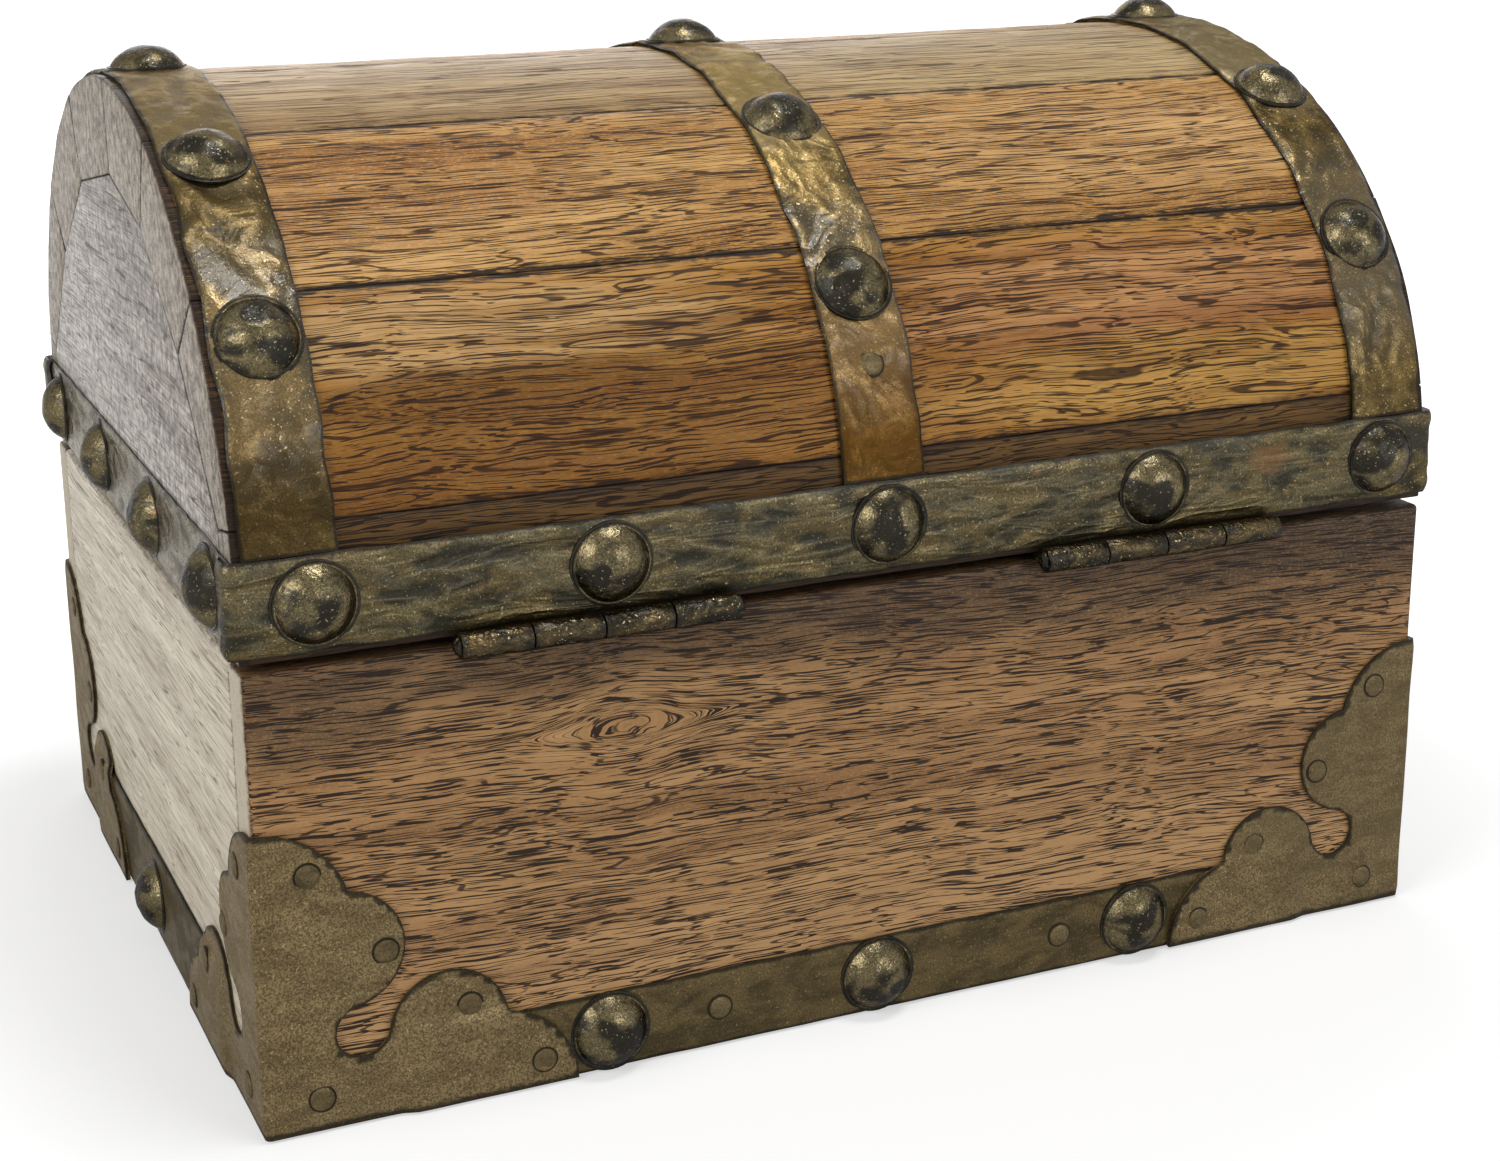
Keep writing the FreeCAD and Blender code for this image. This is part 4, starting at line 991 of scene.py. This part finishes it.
def flatPlace(centre, alongAxis, size, normal, look, seed):
    # A straight band on a flat face
    def place(along, across):
        distance = (along - 0.5) * size[0]
        height = (across - 0.5) * size[1] + edgeWander(distance, seed, 5.0, look) * across
        lift, raised = bandLift(Vector((distance, seed * 10, height)), across, size[1], look, seed)
        return centre + alongAxis * distance + Vector((0, 0, height)), normal, lift, raised
    return place


def makeBand(node, body, finish, place, size, thickness, look):
    bm = bmesh.new()
    steps = (max(2, round(size[0] / look["cell"])), max(2, round(size[1] / (look["cell"] * 0.8))))
    makeSheet(bm, steps, place, thickness)
    finishPiece(bm, node, body, metalFinish[finish], sharpDegrees=45)


def makeRimBands(look):
    thick = chest["rimThickness"]
    size = (2 * (chest["halfLength"] + 2 * thick + look["return"] + thick), rimWidth)
    for side, name, seed in ((1, "rear", 1), (-1, "front", 2)):
        place = rimSidePlace(side, look, seed)
        makeBand("rim_band_" + name, "lid", "rim", place, size, thick, look)
    size = (2 * chest["halfDepth"], rimWidth)
    for end, name in ((1, "left"), (-1, "right")):
        centre = Vector((end * (chest["halfLength"] + thick), 0, rimMiddle))
        place = flatPlace(centre, Vector((0, 1, 0)), size, Vector((end, 0, 0)), look, 3 + end)
        makeBand("rim_band_" + name, "lid", "rimEnd", place, size, thick, look)


makeRimBands(rimLook)
print("rim bands made")

# The ends of the base bands are cut off under the corner plates, short of the plates' open notches
baseLook = {"wave": (16.0, 16.0, 7.0), "depth": 0.2, "edgeDrop": 0.25, "edgeReach": 0.4, "roll": 0.0,
            "cell": 1.1, "edgeWander": 0.25, "cutShort": 22.0}


def makeBaseBands(look):
    thick = chest["baseThickness"]
    alongX, alongY = Vector((1, 0, 0)), Vector((0, 1, 0))
    bands = {"rear": (alongX, alongY, 7), "front": (alongX, -alongY, 5),
             "left": (alongY, alongX, 10), "right": (alongY, -alongX, 8)}
    for name, (alongAxis, normal, seed) in bands.items():
        keys = ("halfLength", "halfDepth", "sideBandHeight")
        if alongAxis.y:
            keys = ("halfDepth", "halfLength", "endBandHeight")
        half, face, height = (chest[key] for key in keys)
        size = (2 * (half - look["cutShort"]), height)
        centre = normal * (face + thick) + Vector((0, 0, height / 2))
        place = flatPlace(centre, alongAxis, size, normal, look, seed)
        makeBand("base_band_" + name, "chest_body", "base", place, size, thick, look)


makeBaseBands(baseLook)
print("base bands made")

archLook = {"wave": (6.0, 6.0, 6.0), "depth": 0.6, "edgeDrop": 0.4, "edgeReach": 0.6, "roll": 0.0,
            "cell": 0.8, "edgeWander": 0.3, "length": 205.0, "width": 13.8, "thickness": 1.0, "proud": 0.35,
            "sag": 0.3, "footDegrees": 6, "degreeLength": 1.24,
            "places": {"left": 93.4, "centre": 0.8, "right": -93.4}}


def archPlace(centreX, look, seed):
    low = math.degrees(math.asin((chest["rimHigh"] - chest["springHeight"]) / chest["lidRise"]))

    def place(along, across):
        angle = low + (180 - 2 * low) * along
        offset = (across - 0.5) * look["width"]
        row = 2.0 if across > 0.5 else 8.0
        sway = 2 * edgeWander(angle, seed, row, look) * abs(across * 2 - 1)
        laid = Vector((offset * 1.3, angle * look["degreeLength"], seed * 30))
        lift, raised = bandLift(laid, across, look["width"], look, seed)
        lift += look["sag"] * noise.noise(Vector((angle / 10, seed * 4.0, 1.0)))
        # The band lies flat where it meets the rim band
        foot = min(1.0, min(along, 1 - along) * 180 / look["footDegrees"])
        point = lidPoint(angle, look["thickness"] + look["proud"] * foot)
        point += Vector((centreX + offset + sway * foot, 0, 0))
        return point, lidNormal(angle), lift * (0.3 + 0.7 * foot), raised
    return place


def makeArchBands(look):
    for seed, (name, centreX) in enumerate(look["places"].items(), 1):
        place = archPlace(centreX, look, float(seed))
        makeBand("arch_band_" + name, "lid", "band", place, (look["length"], look["width"]),
                 look["thickness"], look)


makeArchBands(archLook)
print("arch bands made")

# Joggle says how far from the corner a plate starts to climb over the base band, and where it lies on it.
# The cuts make the grid finer at the fold and where the plate climbs.
plateLook = {"leg": 48.0, "thickness": 0.8, "outerLobe": 14.0, "innerLobe": 9.3, "notch": 4.1,
             "innerShares": (0.26, 0.583), "arcStep": 7.0, "cell": 1.8, "foldRound": 1.0,
             "joggle": (19.5, 23.0), "step": 2.4, "depth": 0.14, "wave": 12.0, "maskReach": 0.35,
             "edgeDrop": 0.15, "edgeReach": 0.5,
             "cutsAlong": (0.3, 0.6, 0.9, 20.8, 21.4, 22.2), "cutsUp": (12.9, 13.4, 13.9, 16.6, 17.2, 17.8)}
corners = {"rear_left": (1, 1), "rear_right": (-1, 1), "front_left": (1, -1), "front_right": (-1, -1)}


def arcOf(bm, centre, radius, first, last, step):
    # One vertex turned round a centre leaves an arc of edges; angles in degrees
    start = math.radians(first)
    vert = bm.verts.new((centre[0] + radius * math.cos(start), centre[1] + radius * math.sin(start), 0))
    steps = max(1, round(abs(last - first) / step))
    bmesh.ops.spin(bm, geom=[vert], cent=(centre[0], centre[1], 0), axis=(0, 0, 1), dvec=(0, 0, 0),
                   angle=math.radians(last - first), steps=steps, use_merge=False)


def bearing(first, last):
    return math.degrees(math.atan2(last[1] - first[1], last[0] - first[0]))


def cuspOf(first, firstRadius, second, secondRadius):
    # Where two lobes of a plate meet
    gap = math.dist(first, second)
    reach = (gap ** 2 + firstRadius ** 2 - secondRadius ** 2) / (2 * gap)
    rise = math.sqrt(firstRadius ** 2 - reach ** 2)
    step = ((second[0] - first[0]) / gap, (second[1] - first[1]) / gap)
    return first[0] + reach * step[0] - rise * step[1], first[1] + reach * step[1] + rise * step[0]


def plateOutline(bm, look, past):
    # Half of the flat blank: two lobes, the notch and the two lobes again, closed past the fold line
    leg, step = look["leg"], look["arcStep"]
    outerRadius, innerRadius, notchRadius = look["outerLobe"], look["innerLobe"], look["notch"]
    outer = (0.0, leg - outerRadius)
    inner = (look["innerShares"][0] * leg, look["innerShares"][1] * leg)
    middle, offset = (inner[0] + inner[1]) / 2, (inner[1] - inner[0]) / 2
    spacing = innerRadius + notchRadius
    notch = (middle - math.sqrt((spacing ** 2 - 2 * offset ** 2) / 2),) * 2
    cusp = cuspOf(outer, outerRadius, inner, innerRadius)
    outerEnd, innerStart, innerEnd = bearing(outer, cusp), bearing(inner, cusp), bearing(inner, notch)
    toNotch = bearing(notch, inner)
    arcOf(bm, outer, outerRadius, 90, outerEnd, step)
    arcOf(bm, inner, innerRadius, innerStart, innerEnd, step)
    arcOf(bm, notch, notchRadius, toNotch, 450 - toNotch, step * 2)
    arcOf(bm, inner[::-1], innerRadius, 90 - innerEnd, 90 - innerStart, step)
    arcOf(bm, outer[::-1], outerRadius, 90 - outerEnd, 0, step)
    foot = [bm.verts.new(point) for point in ((0, leg, 0), (-past, leg, 0), (-past, 0, 0), (leg, 0, 0))]
    for first, last in zip(foot, foot[1:]):
        bm.edges.new((first, last))
    bmesh.ops.remove_doubles(bm, verts=bm.verts, dist=0.02)
    bmesh.ops.contextual_create(bm, geom=bm.edges[:])


def bendPlate(point, toEdge, seed, look):
    # Takes a point of the flat blank to its place on the corner of the box, with how raised it is
    distance, height, grow = abs(point.x), point.y, look["thickness"]
    band = chest["sideBandHeight"] if point.x > 0 else chest["endBandHeight"]
    over = smoothStep(distance - grow, *look["joggle"]) * (1 - smoothStep(height, band, band + look["step"]))
    bump = noise.noise(Vector((point.x, height, seed * 9)) / look["wave"])
    lift = chest["baseThickness"] * over + look["thickness"] + look["depth"] * bump
    lift -= look["edgeDrop"] * math.exp(-toEdge / look["edgeReach"])
    inward, beyond = lift - look["foldRound"], grow - distance
    if beyond > inward:
        angle = math.pi / 2 - math.pi / 4 * (beyond - inward) / (grow - inward)
        away = Vector((inward, inward)) + look["foldRound"] * Vector((math.cos(angle), math.sin(angle)))
    else:
        away = Vector((beyond, lift))
    if point.x < 0:  # the end leg mirrors the side leg across the corner's diagonal
        away = away.yx
    return Vector((chest["halfLength"] + away.x, chest["halfDepth"] + away.y, height)), 0.5 + 0.5 * bump


def makeCornerPlate(name, end, side, seed, look):
    bm = bmesh.new()
    plateOutline(bm, look, look["thickness"])
    bmesh.ops.translate(bm, vec=(look["thickness"], 0, 0), verts=bm.verts)
    for axis in (0, 1):
        cutGrid(bm, axis, 0.0, look["leg"] + 2.0, look["cell"])
    for axis, distances in enumerate((look["cutsAlong"], look["cutsUp"])):
        for distance in distances:
            cutAcross(bm, axis, distance)
    mirrored = bmesh.ops.duplicate(bm, geom=everything(bm))["geom"]
    bmesh.ops.scale(bm, vec=(-1, 1, 1), verts=onlyKind(mirrored, bmesh.types.BMVert))
    bmesh.ops.reverse_faces(bm, faces=onlyKind(mirrored, bmesh.types.BMFace))
    bmesh.ops.remove_doubles(bm, verts=bm.verts, dist=0.001)
    border = searchTree(samplesAlong(borderEdges(bm), spacing=0.6))
    places, lifts = [], []
    for vert in bm.verts:
        point, raised = bendPlate(vert.co, border.find(vert.co)[2], seed, look)
        vert.co = Vector((point.x * end, point.y * side, point.z))
        places.append(vert.co.copy())
        lifts.append(raised)
    bmesh.ops.recalc_face_normals(bm, faces=bm.faces)
    outermost = max(bm.faces, key=lambda face: face.calc_center_median().y * side)
    if outermost.normal.y * side < 0:
        bmesh.ops.reverse_faces(bm, faces=bm.faces)
    thicken(bm, look["thickness"], places, lifts, look["maskReach"])
    plate = metalFinish["plate"]
    finishPiece(bm, "corner_plate_" + name, "chest_body", plate, sharpDegrees=40)


for seed, (name, (end, side)) in enumerate(corners.items(), 1):
    makeCornerPlate(name, end, side, seed, plateLook)
print("corner plates made")


def spunMesh(name, profile, steps):
    # A profile of radius and height turned round Z
    bm = bmesh.new()
    verts = [bm.verts.new((radius, 0, height)) for radius, height in profile]
    edges = [bm.edges.new(pair) for pair in zip(verts, verts[1:])]
    bmesh.ops.spin(bm, geom=verts + edges, cent=(0, 0, 0), axis=(0, 0, 1), dvec=(0, 0, 0), angle=2 * math.pi,
                   steps=steps, use_merge=True)
    bmesh.ops.remove_doubles(bm, verts=bm.verts, dist=0.001)
    bmesh.ops.recalc_face_normals(bm, faces=bm.faces)
    mesh = bpy.data.meshes.new(name)
    bm.to_mesh(mesh)
    bm.free()
    return mesh


# Dents of every head, and the dark ring round its rim, which is grime and painted contact shade; widths,
# lengths and reach are shares of the head's radius
headLook = {
    "tilt": 3.0, "dents": 3, "dentPlace": 0.5, "dentWidth": (0.16, 0.3), "dentShare": (0.2, 1.0),
    "rippleLengths": (0.55, 0.25), "grimeAndShadeFrom": 0.985, "grimeAndShadeReach": 0.05, "grimeAndShadeShare": 0.6,
}

# Rim places are shares of the chest's length or depth, base places are millimetres and arch places degrees
studLook = {
    **headLook, "radius": 6.3, "height": 3.7, "rings": 9, "steps": 40, "flange": 0.3, "flangeWidth": 0.45,
    "skirt": 0.28, "dent": 0.34, "ripple": 0.2, "sunk": 0.1,
    "rimRear": (0.445, 0.226, 0.001, -0.235, -0.454), "rimFront": (0.449, 0.23, -0.23, -0.449),
    "rimEnd": (0.41, 0.14, -0.14, -0.41), "base": (47.9, 1.8, -46.7),
    "arch": (32.5, 59.5, 91.5, 119.0, 147.0),
}


def studProfile(look):
    radius, rise, rings = look["radius"], look["height"] - look["flange"], look["rings"]
    inner, skirt = radius - look["flangeWidth"], radius + look["skirt"]
    ball = (inner ** 2 + rise ** 2) / (2 * rise)
    turns = [math.asin(inner / ball) * ring / rings for ring in range(rings + 1)]
    dome = [(ball * math.sin(turn), look["height"] - ball + ball * math.cos(turn)) for turn in turns]
    return dome + [(radius - 0.06, look["flange"]), (radius, 0.1), (skirt, 0.06), (skirt, -0.3), (0.0, -0.3)]


studMesh = spunMesh("studBlank", studProfile(studLook), studLook["steps"])

# Shares are of a corner plate's leg, along it and up it
nailLook = {
    **headLook, "radius": 1.9, "steps": 20, "dent": 0.1, "ripple": 0.06,
    "profile": ((0.0, 0.48), (0.9, 0.46), (1.5, 0.38), (1.8, 0.2), (1.9, 0.05), (2.15, 0.03), (2.15, -0.3),
                (0.0, -0.3)),
    "base": (29.5, -32.1), "arch": (21.6, 158.0), "hasp": (-4.2, 4.2), "haspFace": 76.9, "haspHeight": 83.5,
    "plateShares": ((0.16, 0.85), (0.39, 0.56), (0.65, 0.325), (0.885, 0.09), (0.167, 0.11)),
}
nailMesh = spunMesh("nailBlank", nailLook["profile"], nailLook["steps"])


def addHead(bm, blank, place, normal, look, rand):
    # Adds one hammered head, turned and dented in its own way
    radius, ripple = look["radius"], look["ripple"]
    before = len(bm.verts)
    bm.from_mesh(blank)
    bm.verts.ensure_lookup_table()
    fresh = bm.verts[before:]
    seed = Vector([rand.uniform(0, 90) for _ in range(3)])
    hollows = []
    for _ in range(look["dents"]):
        centre = Vector([rand.uniform(-look["dentPlace"], look["dentPlace"]) for _ in range(2)]) * radius
        width = rand.uniform(*look["dentWidth"]) * radius
        hollows.append((centre, width, rand.uniform(*look["dentShare"]) * look["dent"]))
    raised = bm.verts.layers.float["raised"]
    for vert in fresh:
        inward = max(0.0, 1 - (vert.co.xy.length / radius) ** 4)
        coarse, fine = (noise.noise(vert.co / (radius * share) + seed) for share in look["rippleLengths"])
        rise = ripple * (coarse + 0.5 * fine)
        for centre, width, depth in hollows:
            rise -= depth * math.exp(-((vert.co.xy - centre).length / width) ** 2)
        # Dents are marked low, so the finish paints them darker: painted shade
        vert[raised] = max(0.0, min(1.0, 0.6 + 0.9 * rise / look["dent"]))
        if vert.co.z > 0.2:
            vert.co.z = max(0.15, vert.co.z + rise * inward)
    spin = Matrix.Rotation(rand.uniform(0, 2 * math.pi), 4, "Z")
    lean = Matrix.Rotation(math.radians(rand.uniform(-look["tilt"], look["tilt"])), 4, "X")
    turn = Vector((0, 0, 1)).rotation_difference(normal).to_matrix().to_4x4()
    bmesh.ops.transform(bm, matrix=Matrix.Translation(place) @ turn @ lean @ spin, verts=fresh)
    return fresh


def makeHeads(node, body, finish, places, blank, look, seed):
    # All heads of one node, with a dark ring round each rim: grime and painted contact shade
    rand, radius = random.Random(seed), look["radius"]
    bm = bmesh.new()
    for name in ("edgeMask", "raised"):
        bm.verts.layers.float.new(name)
    mask = bm.verts.layers.float["edgeMask"]
    for place, normal in places:
        for vert in addHead(bm, blank, place, normal, look, rand):
            away = vert.co - place
            out = (away - normal * away.dot(normal)).length / radius
            inner = math.exp((out - 1) / look["grimeAndShadeReach"]) * look["grimeAndShadeShare"]
            vert[mask] = 1.0 if out > look["grimeAndShadeFrom"] else inner
    finishPiece(bm, node, body, metalFinish[finish])


def sideRow(values, face, height, side):
    return [(Vector((value, side * face, height)), Vector((0, side, 0))) for value in values]


def endRow(values, face, height, end):
    return [(Vector((end * face, value, height)), Vector((end, 0, 0))) for value in values]


def archRow(centreX, angles):
    lift, across = archLook["thickness"], Vector((centreX, 0, 0))
    return [(lidPoint(angle, lift) + across, lidNormal(angle)) for angle in angles]


def makeStuds(look):
    length, depth = 2 * chest["halfLength"], 2 * chest["halfDepth"]
    rim = chest["rimThickness"] - look["sunk"]
    rimFace, rimEndFace = chest["halfDepth"] + rim, chest["halfLength"] + rim
    baseFace, baseEndFace = (chest[half] + chest["baseThickness"] for half in ("halfDepth", "halfLength"))
    rows = {}
    for name, side in (("rear", 1), ("front", -1)):
        places = [share * length for share in look["rimRear" if side > 0 else "rimFront"]]
        rows["rim_studs_" + name] = sideRow(places, rimFace, rimMiddle, side)
    for name, end in (("left", 1), ("right", -1)):
        places = [share * depth for share in look["rimEnd"]]
        rows["rim_studs_" + name] = endRow(places, rimEndFace, rimMiddle, end)
    for name, side in (("rear", 1), ("front", -1)):
        rows["base_studs_" + name] = sideRow(look["base"], baseFace, chest["sideBandHeight"] / 2, side)
    for name, end in (("left", 1), ("right", -1)):
        rows["base_studs_" + name] = endRow((0.0,), baseEndFace, chest["endBandHeight"] / 2, end)
    for name, centreX in archLook["places"].items():
        rows["arch_studs_" + name] = archRow(centreX, look["arch"])
    for seed, (node, places) in enumerate(rows.items(), 50):
        body = "chest_body" if node.startswith("base") else "lid"
        makeHeads(node, body, "stud", places, studMesh, look, seed)


makeStuds(studLook)
print("studs made")


def plateNailRow(end, side, look):
    # Nails of one corner plate, on its side leg and on its end leg
    places = []
    for along, up in look["plateShares"]:
        u, v = along * plateLook["leg"], up * plateLook["leg"]
        sideLift, endLift = (plateLift(u, v, chest[height]) for height in ("sideBandHeight", "endBandHeight"))
        places.append((Vector((end * (chest["halfLength"] - u), side * (chest["halfDepth"] + sideLift), v)),
                       Vector((0, side, 0))))
        places.append((Vector((end * (chest["halfLength"] + endLift), side * (chest["halfDepth"] - u), v)),
                       Vector((end, 0, 0))))
    return places


def plateLift(along, up, band):
    overBand = along > plateLook["joggle"][1] and up < band + 0.5
    return plateLook["thickness"] + (chest["baseThickness"] if overBand else 0.0)


def makeNails(look):
    face, height = chest["halfDepth"] + chest["baseThickness"], chest["sideBandHeight"] / 2
    baseRows = [sideRow(look["base"], face, height, side) for side in (1, -1)]
    rows = {
        "base_band_nails": ("chest_body", baseRows[0] + baseRows[1]),
        "arch_band_nails": ("lid", archRow(archLook["places"]["centre"], look["arch"])),
        "hasp_nails": ("lid", sideRow(look["hasp"], look["haspFace"], look["haspHeight"], -1)),
    }
    for name, (end, side) in corners.items():
        rows["corner_plate_nails_" + name] = ("chest_body", plateNailRow(end, side, look))
    for seed, (node, (body, places)) in enumerate(rows.items(), 80):
        makeHeads(node, body, "nail", places, nailMesh, look, seed)


makeNails(nailLook)
print("nails made")

# Each piece's body, finish, slot, how round its edges are and how deep its dents
hardwareLook = {
    "hinge_leaves_body": ("chest_body", "hinge", "hinge_brass", 0.18, 0.05),
    "hinge_leaves_lid": ("lid", "hinge", "hinge_brass", 0.18, 0.05),
    "hinge_pins": ("chest_body", "hinge", "hinge_brass", 0.12, 0.04),
    "hasp_plate": ("lid", "hasp", "hasp_metal", 0.2, 0.05),
    "hasp_flap": ("hasp", "hasp", "hasp_metal", 0.25, 0.05),
    "hasp_pin": ("lid", "hasp", "hasp_metal", 0.1, 0.03),
    "staple": ("chest_body", "hasp", "hasp_metal", 0.55, 0.05),
}


hardwareWear = {"sharp": 35, "longest": 2.0, "wobbleLength": 1.6, "edgeReach": 0.25}


def dressHardware(node, look, seed, wear):
    # A softened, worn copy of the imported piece
    body, finish, slotName, edgeRound, dent = look
    bm = bmesh.new()
    bm.from_mesh(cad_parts[node].data)
    bmesh.ops.scale(bm, vec=(1 / millimetre,) * 3, verts=bm.verts)
    bmesh.ops.remove_doubles(bm, verts=bm.verts, dist=0.004)
    bmesh.ops.dissolve_limit(bm, angle_limit=math.radians(1.0), verts=bm.verts, edges=bm.edges)
    edges = sharpEdges(bm, wear["sharp"])
    samples = samplesAlong(edges, spacing=0.3)
    soften(bm, edges, edgeRound, 2)
    bmesh.ops.triangulate(bm, faces=bm.faces)
    longEdges = [edge for edge in bm.edges if edge.calc_length() > wear["longest"]]
    bmesh.ops.subdivide_edges(bm, edges=longEdges, cuts=2, use_grid_fill=True)
    bmesh.ops.triangulate(bm, faces=bm.faces)
    markEdges(bm, samples, wear["edgeReach"])
    roughen(bm, dent, wear["wobbleLength"], seed)
    finishPiece(bm, node, body, metalFinish[finish], sharpDegrees=40)


for seed, (node, look) in enumerate(hardwareLook.items(), 1):
    dressHardware(node, look, seed, hardwareWear)
for node in ("hinge_nails_body", "hinge_nails_lid"):
    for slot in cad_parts[node].material_slots:
        slot.material = metalFinish["nail"]
print("hinges, hasp and staple made")


# Near and far are the distances between which the floor starts to glow, in metres: the first three for
# what the metal mirrors, and the three with seen for the camera
floorLook = {"size": 6.0, "gap": 0.0002, "colour": 0.66, "near": 0.22, "far": 0.7, "glow": 0.2,
             "seenColour": 0.4, "seenNear": 0.13, "seenFar": 0.26, "seenGlow": 0.52}


def makeFloor(look):
    bm = bmesh.new()
    bmesh.ops.create_grid(bm, x_segments=2, y_segments=2, size=look["size"])
    bmesh.ops.translate(bm, vec=(0, 0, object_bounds()[0][2] - look["gap"]), verts=bm.verts)
    material, tree, shader = newMaterial("floorWhite")
    shader.inputs["Roughness"].default_value = 0.9
    shader.inputs["Specular IOR Level"].default_value = 0.0
    shader.inputs["Emission Color"].default_value = (1, 1, 1, 1)
    path = put(tree, "LightPath").outputs
    plain, seen = ((look[key],) * 3 + (1.0,) for key in ("colour", "seenColour"))
    tree.links.new(mixColour(tree, path["Is Camera Ray"], plain, seen), shader.inputs["Base Color"])
    place = put(tree, "TexCoord").outputs["Object"]
    away = put(tree, "VectorMath", {0: place}, operation="LENGTH").outputs["Value"]
    glow = times(tree, path["Is Glossy Ray"], ramp(tree, away, look["near"], look["far"], look["glow"], 1.0))
    seenGlow = ramp(tree, away, look["seenNear"], look["seenFar"], look["seenGlow"], 1.0)
    glow = calc(tree, "MAXIMUM", glow, times(tree, path["Is Camera Ray"], seenGlow))
    tree.links.new(glow, shader.inputs["Emission Strength"])
    newObject(bm, "floor", material)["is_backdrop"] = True


lights = {
    "above": {"place": (-0.13, 0.16, 1.14), "size": (0.3, 0.3), "power": 6.0},
    "keyLeft": {"place": (0.95, 0.4, 0.7), "size": (0.6, 0.6), "power": 7.0},
    "fillRear": {"place": (-0.5, 1.2, 0.5), "size": (0.5, 0.5), "power": 4.0},
    "fillFront": {"place": (-0.25, -1.2, 0.6), "size": (0.9, 0.9), "power": 6.0},
}
lightAim = Vector((0, 0, 0.06))
worldStrength = 0.45


def makeLights():
    for name, look in lights.items():
        lamp = bpy.data.lights.new(name, "AREA")
        lamp.shape = "RECTANGLE"
        lamp.size, lamp.size_y = look["size"]
        lamp.energy = look["power"]
        holder = bpy.data.objects.new(name, lamp)
        holder.location = look["place"]
        holder.rotation_euler = (Vector(look["place"]) - lightAim).to_track_quat("Z", "Y").to_euler()
        bpy.context.scene.collection.objects.link(holder)


def makeWorld():
    # The camera and the metal see a white room, which lights the chest less than it shows
    world = bpy.data.worlds.new("studio")
    bpy.context.scene.world = world
    world.use_nodes = True
    tree = world.node_tree
    background = tree.nodes["Background"]
    path = put(tree, "LightPath").outputs
    seen = calc(tree, "MAXIMUM", path["Is Camera Ray"], path["Is Glossy Ray"])
    strength = plus(tree, times(tree, seen, 1 - worldStrength), worldStrength)
    tree.links.new(strength, background.inputs["Strength"])
    background.inputs["Color"].default_value = (1, 1, 1, 1)


cameraLook = {"sensor": 36.0, "lens": 60.0, "shift": (0.02253, -0.0524), "clip": (0.01, 20.0),
              "place": (0.17090, 0.40317, 0.18861), "turn": (1.29776085, 0.0116924, 2.72967576)}


def makeCamera(look):
    data = bpy.data.cameras.new("view")
    data.sensor_width, data.lens = look["sensor"], look["lens"]
    data.shift_x, data.shift_y = look["shift"]
    data.clip_start, data.clip_end = look["clip"]
    camera = bpy.data.objects.new("view", data)
    camera.location, camera.rotation_euler = look["place"], look["turn"]
    bpy.context.scene.collection.objects.link(camera)
    bpy.context.scene.camera = camera
    bpy.context.scene.view_settings.view_transform = "Standard"


makeFloor(floorLook)
makeLights()
makeWorld()
makeCamera(cameraLook)
print("floor, light and camera made")
